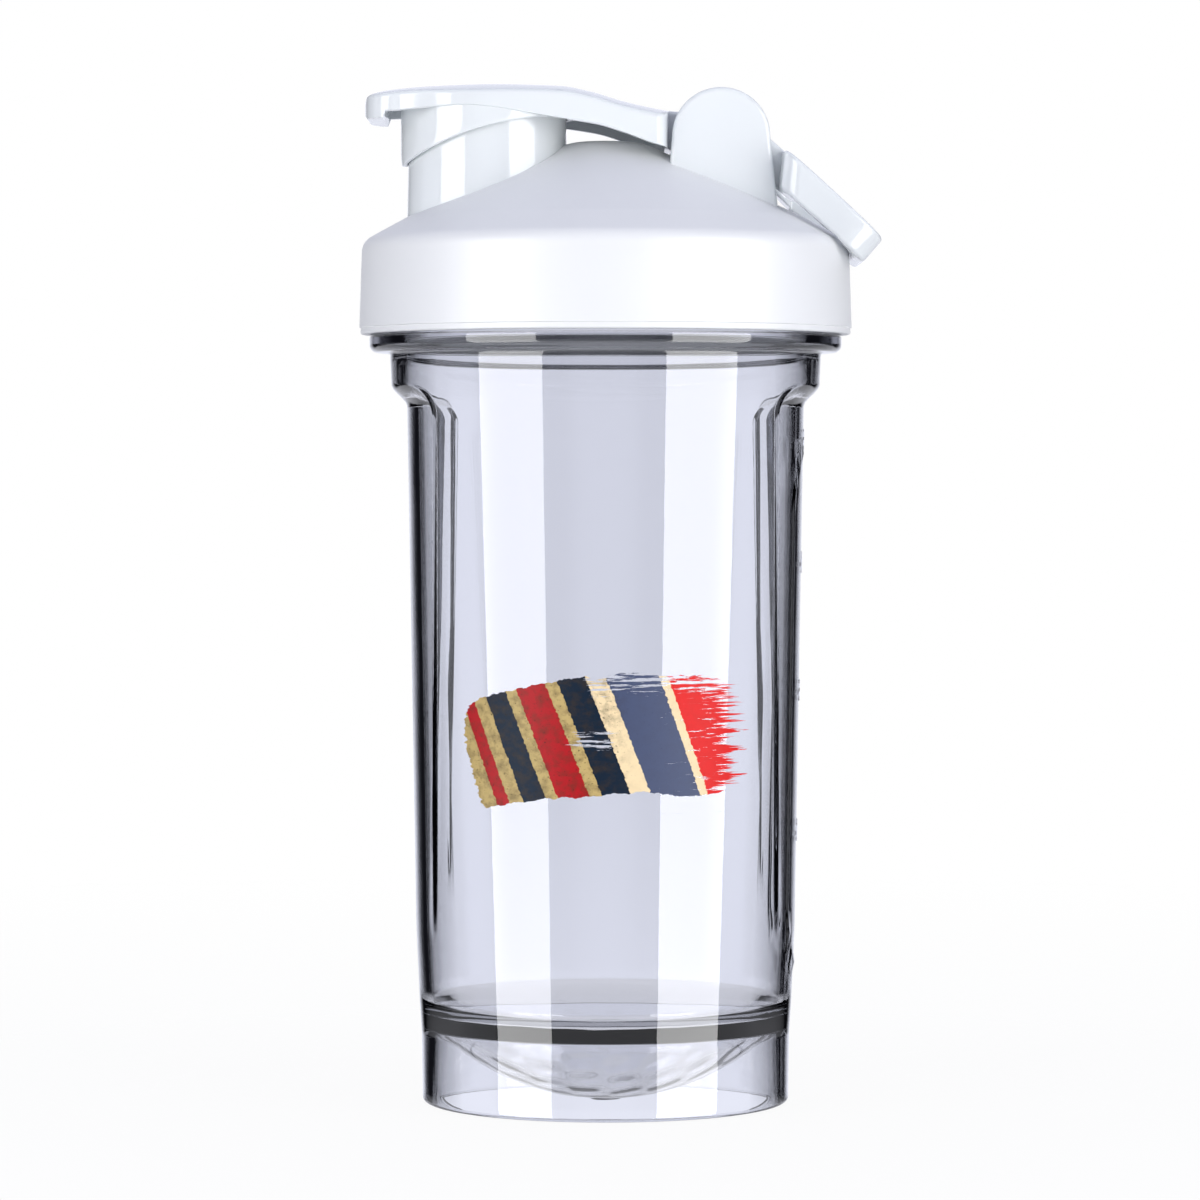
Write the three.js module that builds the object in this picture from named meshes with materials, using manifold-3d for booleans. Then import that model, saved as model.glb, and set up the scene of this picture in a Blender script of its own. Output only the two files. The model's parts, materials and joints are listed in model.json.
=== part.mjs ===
// Protein shaker bottle: a clear moulded cup, a white screw lid with a drinking spout,
// a flip cap that plugs the spout, and a carry loop that shares the cap's hinge pin.
// Millimetres, +Z up. The spout is on the -X side and the carry loop on the +X side.
import * as THREE from 'three';
import { mergeVertices } from 'three/addons/utils/BufferGeometryUtils.js';
import Module from 'manifold-3d';

const wasm = await Module();
wasm.setup();

// ---------------------------------------------------------------- driving dimensions
const GAP = 0.3;                    // clearance between pieces that touch
const ROUND_SEGMENTS = 48;          // facets round the cup, the lid and the seal

// cup
const FOOT_RADIUS = 36.6;
const FOOT_WALL = 2.2;
const CUP_WALL = 2.3;
const BOWL_CENTRE_Z = 49.2;         // the rounded bottom is part of two spheres about this height
const BOWL_OUTER_RADIUS = 48;
const BOWL_INNER_RADIUS = 45.5;
const FLOOR_JOIN_Z = 20;            // where the side wall leaves the bowl
const WALL_LOW_RADIUS = 37.2;       // outer radius of the side wall at FLOOR_JOIN_Z
const WALL_TOP_Z = 142.6;
const WALL_TOP_RADIUS = 42.7;       // outer radius of the side wall at WALL_TOP_Z
const COLLAR_RADIUS = 42.8;
const FLANGE_RADIUS = 47.1;
const FLANGE_Z = [149.6, 152.8];
const NECK_RADIUS = 43.5;
const MOUTH_RADIUS = 40.3;
const RIM_Z = 167;

// the two grip recesses, one on each side of the cup
const RECESS_EDGE_X = 34.4;
const RECESS_TOP_Z = 141;
const RECESS_CORNER = 5;
const RECESS_SIDE_BLEND = 0.7;      // half the width of the step down into the recess
const RECESS_TOP_BLEND = 2.2;
const RECESS_FLOOR_RADIUS = 37.3;   // outer radius of the recess floor at z = 0
const RECESS_FLOOR_TAPER = 0.0165;

// two-start screw thread between the cup and the lid
const THREAD_LEAD = 8;
const THREAD_STARTS = 2;
const THREAD_FIRST_Z = 156.4;
const THREAD_HALF_ROOT = 1.2;
const THREAD_HALF_CREST = 0.6;
const CUP_THREAD_DEPTH = 2;
const LID_THREAD_DEPTH = 1.9;

// lid
const LID_BOTTOM_Z = 153.2;
const SKIRT_RADIUS = 49.1;
const SKIRT_TOP_RADIUS = 48.6;
const SKIRT_INNER_RADIUS = 46.3;
const SHOULDER = new THREE.Vector2(46.3, 173);
const CONE_FOOT = new THREE.Vector2(40, 176.4);
const CONE_HEAD = new THREE.Vector2(8, 191.4);
const LID_TOP_Z = 191.6;
const LID_WALL = 2.4;
const SEAT_Z = 169.2;
const PLUG_RING = { outer: 39.6, inner: 37.8, z: 165.5 };

// spout
const SPOUT_X = -23.5;
const SPOUT_FOOT_RADIUS = 16.1;
const SPOUT_TOP_RADIUS = 15.6;
const SPOUT_BORE = 13.6;
const SPOUT_TOP_Z = 196.8;

// hinge
const HINGE = new THREE.Vector2(22.8, 192);
const EAR_RADIUS = 9.7;
const EAR_FOOT_X = [12.6, 34.1];
const EAR_Y = [9.9, 12.9];
const PIN_RADIUS = 2;
const PIN_HOLE_RADIUS = 2.1;
const PIN_BLIND_DEPTH = 2;
const HUB_RADIUS = 6.2;
const CAP_HUB_HALF = 6;
const LOOP_HUB_Y = [6.3, 9.6];
const EAR_SINK = 1.5;               // how deep the ears' feet go into the cone

// flip cap
const CAP_TIP_X = -47.8;
const CAP_TAB_HALF = 14.4;          // half the width of the thumb tab
const CAP_PLATE_RADIUS = 17.8;
const CAP_ARM_HALF = 16;
const CAP_BEND_X = 10;              // where the arm starts to narrow
const CAP_NECK_X = 12.6;            // where it has narrowed to the width of its hub
const CAP_SKIN = 2.4;
const CAP_EDGE_WALL = 2;
const CAP_CROWN = 2.1;              // how far the top stands above its two long edges
const CAP_SPACE_Z = [180, 210];     // heights well below and above the cap
const LIP = { z: 195.5, length: 4.4, half: 15 };
const GUARD_RADIUS = [16.2, 17.3];
const GUARD_Z = [184, 198.6];
const GUARD_CUT = { x: -6, z: 126, radius: 70 };
const BOSS = { radius: 6, height: 4 };
const PLUG_RADIUS = 13.1;
const PLUG_WALL = 1.8;
const PLUG_Z = [191.4, 197.3];
const PLUG_STEM_RADIUS = 3;

// carry loop, drawn along its own length s from the hinge and across its thickness t
const LOOP_SLOPE = 41;              // degrees below the horizontal at rest
const LOOP_LENGTH = 38;
const LOOP_HALF = 19.5;
const LOOP_ARM = 4.2;
const LOOP_BAR = 5.2;
const LOOP_FLARE_S = 15.4;
const LOOP_FLARE_LENGTH = 4.6;
const LOOP_FLARE_LEAN = 0.7;        // how fast the flare comes nearer the hinge towards the top
const LOOP_CORNER = 6;
const LOOP_INNER_CORNER = 3;
const LOOP_ARM_T = [-0.4, 6.2];     // underside and top of the arm at the hinge end
const LOOP_BAR_T = [-1.5, 5.7];     // underside and top at the bar
const LID_ROOM = 0.5;               // air kept between the lid's top and what swings over it

// the model's origin is under the middle of its outline, which the loop puts off the cup's axis
const LOOP_END_X = 54.4;
const CUP_AXIS_X = (SKIRT_RADIUS - LOOP_END_X) / 2;

const clearPlastic = new THREE.MeshStandardMaterial({
  color: 0xd9dde8, roughness: 0.05, metalness: 0, transparent: true, opacity: 0.35,
});
const whiteSatin = new THREE.MeshStandardMaterial({ color: 0xf1f2f6, roughness: 0.45, metalness: 0 });
const whiteGloss = new THREE.MeshStandardMaterial({ color: 0xf2f4f8, roughness: 0.18, metalness: 0 });
const silicone = new THREE.MeshStandardMaterial({ color: 0xe6e8ea, roughness: 0.6, metalness: 0 });
const pinPlastic = new THREE.MeshStandardMaterial({ color: 0xeceef2, roughness: 0.3, metalness: 0 });

// ---------------------------------------------------------------- solids
// Turns a closed three.js geometry into a manifold solid whose faces point outward.
function solid(geometry) {
  const bare = geometry.clone();
  bare.deleteAttribute('normal');
  bare.deleteAttribute('uv');
  const merged = mergeVertices(bare, 1e-4);
  const position = merged.attributes.position;
  const corner = [0, 1, 2].map(() => new THREE.Vector3());
  const triangles = [];
  let volume = 0;
  for (let i = 0; i < merged.index.count; i += 3) {
    const ids = [0, 1, 2].map((k) => merged.index.getX(i + k));
    if (new Set(ids).size < 3) continue;
    ids.forEach((id, k) => corner[k].fromBufferAttribute(position, id));
    volume += corner[0].dot(corner[1].clone().cross(corner[2]));
    triangles.push(ids);
  }
  const outward = triangles.map((ids) => (volume > 0 ? ids : [ids[0], ids[2], ids[1]]));
  return new wasm.Manifold(new wasm.Mesh({
    numProp: 3,
    vertProperties: new Float32Array(position.array),
    triVerts: new Uint32Array(outward.flat()),
  }));
}

function geometryOf(manifold) {
  const mesh = manifold.getMesh();
  const geometry = new THREE.BufferGeometry();
  geometry.setAttribute('position', new THREE.BufferAttribute(mesh.vertProperties, 3));
  geometry.setIndex(new THREE.BufferAttribute(mesh.triVerts, 1));
  geometry.computeVertexNormals();
  return geometry;
}

// A solid of revolution about the Z axis from a profile of [radius, z] pairs.
function turned(profile, segments = ROUND_SEGMENTS) {
  const points = profile.map((p) => (p.isVector2 ? p : new THREE.Vector2(p[0], p[1])));
  return new THREE.LatheGeometry(points, segments).rotateX(Math.PI / 2);
}

// A plate that lies in XY and is extruded from z = low to z = high.
function plate(shape, low, high) {
  const settings = { depth: high - low, bevelEnabled: false, curveSegments: 10 };
  return new THREE.ExtrudeGeometry(shape, settings).translate(0, 0, low);
}

// A slab whose outline is drawn in XZ and that runs from y = low to y = high.
function slab(shape, low, high, curveSegments = 10) {
  const settings = { depth: high - low, bevelEnabled: false, curveSegments };
  return new THREE.ExtrudeGeometry(shape, settings).rotateX(Math.PI / 2).translate(0, high, 0);
}

function rod(radius, lowY, highY, x, z, segments = 32) {
  return new THREE.CylinderGeometry(radius, radius, highY - lowY, segments)
    .translate(x, (lowY + highY) / 2, z);
}

function smoothStep(low, high, value) {
  return THREE.MathUtils.smoothstep(value, low, high);
}

// ---------------------------------------------------------------- screw thread
// One helical ridge: a trapezoid carried round the axis. depth is negative for an inward ridge.
function threadRidge(rootRadius, depth, firstZ, turns, startAngle) {
  const bite = 0.5;
  const root = -Math.sign(depth) * bite;
  const section = new THREE.Shape([
    new THREE.Vector2(root, -THREAD_HALF_ROOT),
    new THREE.Vector2(0, -THREAD_HALF_ROOT),
    new THREE.Vector2(depth, -THREAD_HALF_CREST),
    new THREE.Vector2(depth, THREAD_HALF_CREST),
    new THREE.Vector2(0, THREAD_HALF_ROOT),
    new THREE.Vector2(root, THREAD_HALF_ROOT),
  ]);
  const stepsPerTurn = 26;
  const runOut = 0.08;
  const steps = Math.round(turns * stepsPerTurn);
  const ridge = new THREE.ExtrudeGeometry(section, { depth: 1, steps, bevelEnabled: false });
  const position = ridge.attributes.position;
  for (let i = 0; i < position.count; i += 1) {
    const along = position.getZ(i);
    const fade = smoothStep(0, runOut, along) * smoothStep(0, runOut, 1 - along);
    const out = position.getX(i);
    const reach = Math.sign(out) === Math.sign(depth) ? out * (0.1 + 0.9 * fade) : out;
    const angle = startAngle + along * turns * 2 * Math.PI;
    const radius = rootRadius + reach;
    const height = firstZ + along * turns * THREAD_LEAD + position.getY(i);
    position.setXYZ(i, radius * Math.cos(angle), radius * Math.sin(angle), height);
  }
  return ridge;
}

function addThread(body, rootRadius, depth, firstZ, firstTurn, lastTurn) {
  let result = body;
  for (let start = 0; start < THREAD_STARTS; start += 1) {
    const angle = 2 * Math.PI * (firstTurn + start / THREAD_STARTS);
    const low = firstZ + firstTurn * THREAD_LEAD;
    result = result.add(solid(threadRidge(rootRadius, depth, low, lastTurn - firstTurn, angle)));
  }
  return result;
}

// ---------------------------------------------------------------- cup
function wallRadius(z) {
  const up = (z - FLOOR_JOIN_Z) / (WALL_TOP_Z - FLOOR_JOIN_Z);
  return WALL_LOW_RADIUS + up * (WALL_TOP_RADIUS - WALL_LOW_RADIUS);
}

// How far a grip recess sinks the wall at azimuth angle and height z. The recess is deep inside
// its outline and its rim is a short step at the sides and a long soft one at the top.
function recessDepth(angle, z) {
  if (z < FLOOR_JOIN_Z || z > RECESS_TOP_Z + RECESS_TOP_BLEND) return 0;
  const full = wallRadius(z);
  const floor = RECESS_FLOOR_RADIUS + RECESS_FLOOR_TAPER * z;
  const side = Math.abs(full * Math.cos(angle)) - RECESS_EDGE_X;
  const below = RECESS_TOP_Z - z;
  const toSide = Math.max(0, RECESS_CORNER - side);
  const toTop = Math.max(0, RECESS_CORNER - below);
  const inside = RECESS_CORNER - Math.hypot(toSide, toTop);
  const topShare = Math.atan2(toTop, toSide) / (Math.PI / 2);
  const blend = THREE.MathUtils.lerp(RECESS_SIDE_BLEND, RECESS_TOP_BLEND, topShare);
  return Math.max(0, full - floor) * smoothStep(-blend, blend, inside);
}

function bowlArc(radius, fromR, toR, steps) {
  const points = [];
  for (let i = 0; i <= steps; i += 1) {
    const r = fromR + (toR - fromR) * (i / steps);
    points.push([r, BOWL_CENTRE_Z - Math.sqrt(radius * radius - r * r)]);
  }
  return points;
}

function cup() {
  const footInner = FOOT_RADIUS - FOOT_WALL;
  const recessRim = [-1, -0.5, 0, 0.5, 1].map((k) => RECESS_TOP_Z + k * RECESS_TOP_BLEND);
  const wallHeights = [36, 60, 85, 110, 130, 135.5, ...recessRim];
  const outerWall = wallHeights.map((z) => [wallRadius(z), z]);
  const innerWall = wallHeights.map((z) => [wallRadius(z) - CUP_WALL, z]).reverse();
  const floorEdge = wallRadius(FLOOR_JOIN_Z) - CUP_WALL;
  const profile = [
    ...bowlArc(BOWL_OUTER_RADIUS, 0, footInner - 0.3, 5),
    [footInner, 14],
    [footInner, 0.6],
    [footInner + 0.5, 0],
    [FOOT_RADIUS - 0.8, 0],
    [FOOT_RADIUS, 0.8],
    [FOOT_RADIUS + 0.2, 14],
    [WALL_LOW_RADIUS, FLOOR_JOIN_Z],
    ...outerWall,
    [COLLAR_RADIUS, FLANGE_Z[0]],
    [FLANGE_RADIUS - 1.6, FLANGE_Z[0]],
    [FLANGE_RADIUS - 0.4, FLANGE_Z[0] + 0.5],
    [FLANGE_RADIUS, FLANGE_Z[0] + 1.6],
    [FLANGE_RADIUS, FLANGE_Z[1]],
    [NECK_RADIUS, FLANGE_Z[1]],
    [NECK_RADIUS, RIM_Z - 0.6],
    [NECK_RADIUS - 0.6, RIM_Z],
    [MOUTH_RADIUS + 0.6, RIM_Z],
    [MOUTH_RADIUS, RIM_Z - 0.6],
    ...innerWall,
    [floorEdge, FLOOR_JOIN_Z + 1],
    ...bowlArc(BOWL_INNER_RADIUS, floorEdge - 0.7, 0, 5),
  ];
  const geometry = turned(profile);
  const position = geometry.attributes.position;
  for (let i = 0; i < position.count; i += 1) {
    const radius = Math.hypot(position.getX(i), position.getY(i));
    const angle = Math.atan2(position.getY(i), position.getX(i));
    const depth = radius > MOUTH_RADIUS / 2 ? recessDepth(angle, position.getZ(i)) : 0;
    const scale = radius > 0 ? (radius - depth) / radius : 1;
    position.setXY(i, position.getX(i) * scale, position.getY(i) * scale);
  }
  return addThread(solid(geometry), NECK_RADIUS, CUP_THREAD_DEPTH, THREAD_FIRST_Z, 0, 1);
}

// ---------------------------------------------------------------- lid
function outerLidProfile(grow = 0) {
  return [
    [0, LID_BOTTOM_Z - grow],
    [SKIRT_RADIUS - 1.6 + grow, LID_BOTTOM_Z - grow],
    [SKIRT_RADIUS - 0.2 + grow, LID_BOTTOM_Z + 0.8],
    [SKIRT_RADIUS - 0.2 + grow, LID_BOTTOM_Z + 1.4],
    [SKIRT_RADIUS + grow, LID_BOTTOM_Z + 1.7],
    [SKIRT_TOP_RADIUS + grow, 168.5 + grow],
    [48 + grow, 170.6 + grow],
    [SHOULDER.x + grow * 0.5, SHOULDER.y + grow],
    [CONE_FOOT.x, CONE_FOOT.y + grow],
    [CONE_HEAD.x, CONE_HEAD.y + grow],
    [CONE_HEAD.x - 4, LID_TOP_Z + grow],
    [0, LID_TOP_Z + grow],
  ];
}

function lidCavity() {
  return turned([
    [0, LID_BOTTOM_Z - 5],
    [SKIRT_INNER_RADIUS + 1, LID_BOTTOM_Z - 5],
    [SKIRT_INNER_RADIUS + 1, LID_BOTTOM_Z],
    [SKIRT_INNER_RADIUS, LID_BOTTOM_Z + 1],
    [SKIRT_INNER_RADIUS, SEAT_Z],
    [PLUG_RING.outer, SEAT_Z],
    [PLUG_RING.outer, PLUG_RING.z + 0.5],
    [PLUG_RING.outer - 0.5, PLUG_RING.z],
    [PLUG_RING.inner, PLUG_RING.z],
    [PLUG_RING.inner, CONE_FOOT.y - LID_WALL + 0.8],
    [CONE_HEAD.x, CONE_HEAD.y - LID_WALL - 0.2],
    [0, LID_TOP_Z - LID_WALL],
  ]);
}

function coneZ(radius) {
  const fall = (CONE_HEAD.y - CONE_FOOT.y) / (CONE_FOOT.x - CONE_HEAD.x);
  return CONE_HEAD.y - (radius - CONE_HEAD.x) * fall;
}

// The D-shaped hinge ear in XZ. Its foot is sunk into the cone.
function earShape() {
  const [left, right] = EAR_FOOT_X;
  const midY = (EAR_Y[0] + EAR_Y[1]) / 2;
  const shape = new THREE.Shape();
  shape.moveTo(left, coneZ(Math.hypot(left, midY)) - EAR_SINK);
  shape.lineTo(right, coneZ(Math.hypot(right, midY)) - EAR_SINK);
  shape.lineTo(HINGE.x + EAR_RADIUS, HINGE.y);
  shape.absarc(HINGE.x, HINGE.y, EAR_RADIUS, 0, Math.PI, false);
  shape.closePath();
  return shape;
}

function lidShell() {
  const spout = turned([
    [0, SEAT_Z],
    [SPOUT_FOOT_RADIUS, SEAT_Z],
    [SPOUT_TOP_RADIUS, SPOUT_TOP_Z - 0.6],
    [SPOUT_TOP_RADIUS - 0.6, SPOUT_TOP_Z],
    [0, SPOUT_TOP_Z],
  ]).translate(SPOUT_X, 0, 0);
  const bore = turned([
    [0, PLUG_RING.z],
    [SPOUT_BORE, PLUG_RING.z],
    [SPOUT_BORE, SPOUT_TOP_Z + 5],
    [0, SPOUT_TOP_Z + 5],
  ]).translate(SPOUT_X, 0, 0);
  const [inner, outer] = EAR_Y;
  const pinHole = rod(PIN_HOLE_RADIUS, -inner - PIN_BLIND_DEPTH, outer + 5, HINGE.x, HINGE.y);
  const body = solid(turned(outerLidProfile()))
    .add(solid(spout))
    .add(solid(slab(earShape(), inner, outer, 14)))
    .add(solid(slab(earShape(), -outer, -inner, 14)))
    .subtract(solid(lidCavity()))
    .subtract(solid(bore))
    .subtract(solid(pinHole));
  const between = THREAD_FIRST_Z + THREAD_LEAD / THREAD_STARTS / 2;
  return addThread(body, SKIRT_INNER_RADIUS, -LID_THREAD_DEPTH, between, -0.1, 0.8);
}

function lidSeal() {
  const inner = PLUG_RING.outer + GAP;
  const outer = NECK_RADIUS + 0.5;
  const low = RIM_Z + GAP;
  const high = SEAT_Z - GAP;
  return solid(turned([
    [inner, low],
    [outer, low],
    [outer + 0.3, (low + high) / 2],
    [outer, high],
    [inner, high],
    [inner, low],
  ]));
}

function hingePin() {
  const low = -EAR_Y[0] - PIN_BLIND_DEPTH + GAP;
  return solid(rod(PIN_RADIUS, low, EAR_Y[1] - 0.1, HINGE.x, HINGE.y));
}

// ---------------------------------------------------------------- flip cap
// Heights along X of the cap's crown and of the lower edge of its sides.
const capTop = new THREE.SplineCurve([
  new THREE.Vector2(CAP_TIP_X, 200),
  new THREE.Vector2(-44.5, 201.5),
  new THREE.Vector2(-35, 202.6),
  new THREE.Vector2(-22, 202.95),
  new THREE.Vector2(-9, 202.6),
  new THREE.Vector2(-2, 201.1),
  new THREE.Vector2(4, 199.4),
  new THREE.Vector2(14, 197.4),
  new THREE.Vector2(HINGE.x, HINGE.y + HUB_RADIUS - 1.2),
]);
const capEdge = new THREE.SplineCurve([
  new THREE.Vector2(CAP_TIP_X, 196.4),
  new THREE.Vector2(-40, 197),
  new THREE.Vector2(-28, 197.8),
  new THREE.Vector2(-14, 196.2),
  new THREE.Vector2(-1.3, 194.1),
  new THREE.Vector2(4.3, 192.3),
  new THREE.Vector2(9.5, 190.3),
  new THREE.Vector2(14, 189.6),
  new THREE.Vector2(HINGE.x, 189.4),
]);

// Height of a spline whose X grows along it, at a given x.
function heightAt(curve, x) {
  let low = 0;
  let high = 1;
  for (let i = 0; i < 30; i += 1) {
    const middle = (low + high) / 2;
    if (curve.getPoint(middle).x < x) low = middle;
    else high = middle;
  }
  return curve.getPoint((low + high) / 2).y;
}

// A bar along X between two height functions, wider than the cap and crowned across Y.
function crownedBar(fromX, toX, lowAt, highAt) {
  const halfWidth = 20;
  const halfFacets = 4;
  const section = new THREE.Shape();
  section.moveTo(-halfWidth, 0);
  section.lineTo(halfWidth, 0);
  for (let i = 0; i <= 2 * halfFacets; i += 1) {
    section.lineTo(halfWidth * (1 - i / halfFacets), 1);
  }
  section.closePath();
  const bar = new THREE.ExtrudeGeometry(section, { depth: 1, steps: 20, bevelEnabled: false });
  const position = bar.attributes.position;
  for (let i = 0; i < position.count; i += 1) {
    const x = fromX + (toX - fromX) * position.getZ(i);
    const y = position.getX(i);
    const top = highAt(x) - CAP_CROWN * (y / CAP_PLATE_RADIUS) ** 2;
    const z = position.getY(i) > 0.5 ? top : lowAt(x);
    position.setXYZ(i, x, y, z);
  }
  return solid(bar);
}

// The cap seen from above: thumb tab, round plate over the spout, arm, and a neck to the hub.
function capOutline(inset = 0) {
  const plateRadius = CAP_PLATE_RADIUS - inset;
  const armHalf = CAP_ARM_HALF - inset;
  const tabHalf = CAP_TAB_HALF - inset;
  const tipX = CAP_TIP_X + inset;
  const shoulderBack = 5;
  const shoulderX = SPOUT_X - shoulderBack;
  const shoulderY = Math.sqrt(plateRadius ** 2 - shoulderBack ** 2);
  const flankTurn = 0.35;
  const neckX = CAP_NECK_X - inset * 0.9;
  const neckHalf = inset > 0 ? armHalf - 4 : CAP_HUB_HALF;
  const shape = new THREE.Shape();
  const tipHalf = tabHalf * 0.5;
  shape.moveTo(tipX, -tipHalf);
  shape.bezierCurveTo(tipX + 0.2, -tabHalf, tipX + 6.5, -tabHalf, shoulderX, -shoulderY);
  const shoulderAngle = Math.atan2(-shoulderY, -shoulderBack);
  shape.absarc(SPOUT_X, 0, plateRadius, shoulderAngle, -Math.PI / 2 + flankTurn, false);
  shape.lineTo(CAP_BEND_X - inset, -armHalf);
  shape.quadraticCurveTo(neckX, -armHalf, neckX, -neckHalf);
  if (inset === 0) {
    shape.lineTo(HINGE.x, -neckHalf);
    shape.lineTo(HINGE.x, neckHalf);
  }
  shape.lineTo(neckX, neckHalf);
  shape.quadraticCurveTo(neckX, armHalf, CAP_BEND_X - inset, armHalf);
  shape.absarc(SPOUT_X, 0, plateRadius, Math.PI / 2 - flankTurn, -shoulderAngle, false);
  shape.bezierCurveTo(tipX + 6.5, tabHalf, tipX + 0.2, tabHalf, tipX, tipHalf);
  shape.closePath();
  return shape;
}

function flipCap() {
  const outline = solid(plate(capOutline(), ...CAP_SPACE_Z));
  const hollowOutline = solid(plate(capOutline(CAP_EDGE_WALL), ...CAP_SPACE_Z));
  const crest = (x) => heightAt(capTop, x);
  const edge = (x) => heightAt(capEdge, x);
  const ceiling = (x) => crest(x) - CAP_SKIN;
  const below = () => CAP_SPACE_Z[0];
  const skin = crownedBar(CAP_TIP_X, HINGE.x, edge, crest).intersect(outline);
  const hollow = crownedBar(CAP_TIP_X + LIP.length, CAP_NECK_X, below, ceiling)
    .intersect(hollowOutline);

  const guardRing = solid(turned([
    [GUARD_RADIUS[0], GUARD_Z[0]],
    [GUARD_RADIUS[1], GUARD_Z[0]],
    [GUARD_RADIUS[1], GUARD_Z[1]],
    [GUARD_RADIUS[0], GUARD_Z[1]],
    [GUARD_RADIUS[0], GUARD_Z[0]],
  ]).translate(SPOUT_X, 0, 0));
  const sweepReach = 30;
  const sweep = rod(GUARD_CUT.radius, -sweepReach, sweepReach, GUARD_CUT.x, GUARD_CUT.z, 120);
  const guard = guardRing.subtract(solid(sweep));

  const lipShape = new THREE.Shape();
  const lipFront = CAP_TIP_X + 0.3;
  const lipBack = CAP_TIP_X + LIP.length;
  const lipTop = LIP.z + 4.2;
  lipShape.moveTo(lipFront, lipTop);
  lipShape.lineTo(lipFront, LIP.z + 0.8);
  lipShape.quadraticCurveTo(lipFront, LIP.z, lipFront + 1.1, LIP.z);
  lipShape.lineTo(lipBack - 0.5, LIP.z + 0.1);
  lipShape.lineTo(lipBack, LIP.z + 0.6);
  lipShape.lineTo(lipBack, lipTop);
  const lip = solid(slab(lipShape, -LIP.half, LIP.half)).intersect(outline);

  const hub = solid(rod(HUB_RADIUS, -CAP_HUB_HALF, CAP_HUB_HALF, HINGE.x, HINGE.y));
  const bossLow = PLUG_Z[1] + GAP;
  const socketHigh = PLUG_Z[1] + PLUG_WALL + GAP + 0.1;
  const boss = solid(stud(BOSS.radius, bossLow, bossLow + BOSS.height, 32));
  const socket = solid(stud(PLUG_STEM_RADIUS + GAP, bossLow - 1, socketHigh, 24));
  const pinHole = solid(rod(PIN_HOLE_RADIUS, -CAP_PLATE_RADIUS, CAP_PLATE_RADIUS, HINGE.x, HINGE.y));
  const lidRoom = solid(turned(outerLidProfile(LID_ROOM)));
  return skin.subtract(hollow).add(guard).add(lip).add(hub).add(boss)
    .subtract(socket).subtract(pinHole).subtract(lidRoom);
}

// An upright cylinder on the spout's axis.
function stud(radius, low, high, segments) {
  return new THREE.CylinderGeometry(radius, radius, high - low, segments)
    .rotateX(Math.PI / 2)
    .translate(SPOUT_X, 0, (low + high) / 2);
}

function spoutPlug() {
  const [low, high] = PLUG_Z;
  return solid(turned([
    [0, high - PLUG_WALL],
    [PLUG_RADIUS - PLUG_WALL, high - PLUG_WALL],
    [PLUG_RADIUS - PLUG_WALL - 0.4, low],
    [PLUG_RADIUS - 0.5, low],
    [PLUG_RADIUS, low + 1],
    [PLUG_RADIUS, high - 0.4],
    [PLUG_RADIUS - 0.4, high],
    [PLUG_STEM_RADIUS, high],
    [PLUG_STEM_RADIUS, high + PLUG_WALL],
    [0, high + PLUG_WALL],
  ]).translate(SPOUT_X, 0, 0));
}

// ---------------------------------------------------------------- carry loop
// The loop from above, in its own plane: two hub arms that flare out into a U.
function loopOutline() {
  const [hubIn, hubOut] = LOOP_HUB_Y;
  const back = -HUB_RADIUS - 1;
  const flareEnd = LOOP_FLARE_S + LOOP_FLARE_LENGTH;
  const inHalf = LOOP_HALF - LOOP_ARM;
  const barIn = LOOP_LENGTH - LOOP_BAR;
  const corner = LOOP_CORNER;
  const inCorner = LOOP_INNER_CORNER;
  const shape = new THREE.Shape();
  shape.moveTo(back, -hubOut);
  shape.lineTo(LOOP_FLARE_S, -hubOut);
  shape.bezierCurveTo(LOOP_FLARE_S + 2, -hubOut, flareEnd - 4, -LOOP_HALF, flareEnd + 1, -LOOP_HALF);
  shape.lineTo(LOOP_LENGTH - corner, -LOOP_HALF);
  shape.absarc(LOOP_LENGTH - corner, -LOOP_HALF + corner, corner, -Math.PI / 2, 0, false);
  shape.lineTo(LOOP_LENGTH, LOOP_HALF - corner);
  shape.absarc(LOOP_LENGTH - corner, LOOP_HALF - corner, corner, 0, Math.PI / 2, false);
  shape.lineTo(flareEnd + 1, LOOP_HALF);
  shape.bezierCurveTo(flareEnd - 4, LOOP_HALF, LOOP_FLARE_S + 2, hubOut, LOOP_FLARE_S, hubOut);
  shape.lineTo(back, hubOut);
  shape.lineTo(back, hubIn);
  shape.lineTo(LOOP_FLARE_S - 2, hubIn);
  shape.bezierCurveTo(LOOP_FLARE_S + 1, hubIn, flareEnd - 3, inHalf, flareEnd, inHalf);
  shape.lineTo(barIn - inCorner, inHalf);
  shape.absarc(barIn - inCorner, inHalf - inCorner, inCorner, Math.PI / 2, 0, true);
  shape.lineTo(barIn, -inHalf + inCorner);
  shape.absarc(barIn - inCorner, -inHalf + inCorner, inCorner, 0, -Math.PI / 2, true);
  shape.lineTo(flareEnd, -inHalf);
  shape.bezierCurveTo(flareEnd - 3, -inHalf, LOOP_FLARE_S + 1, -hubIn, LOOP_FLARE_S - 2, -hubIn);
  shape.lineTo(back, -hubIn);
  shape.closePath();
  return shape;
}

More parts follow.
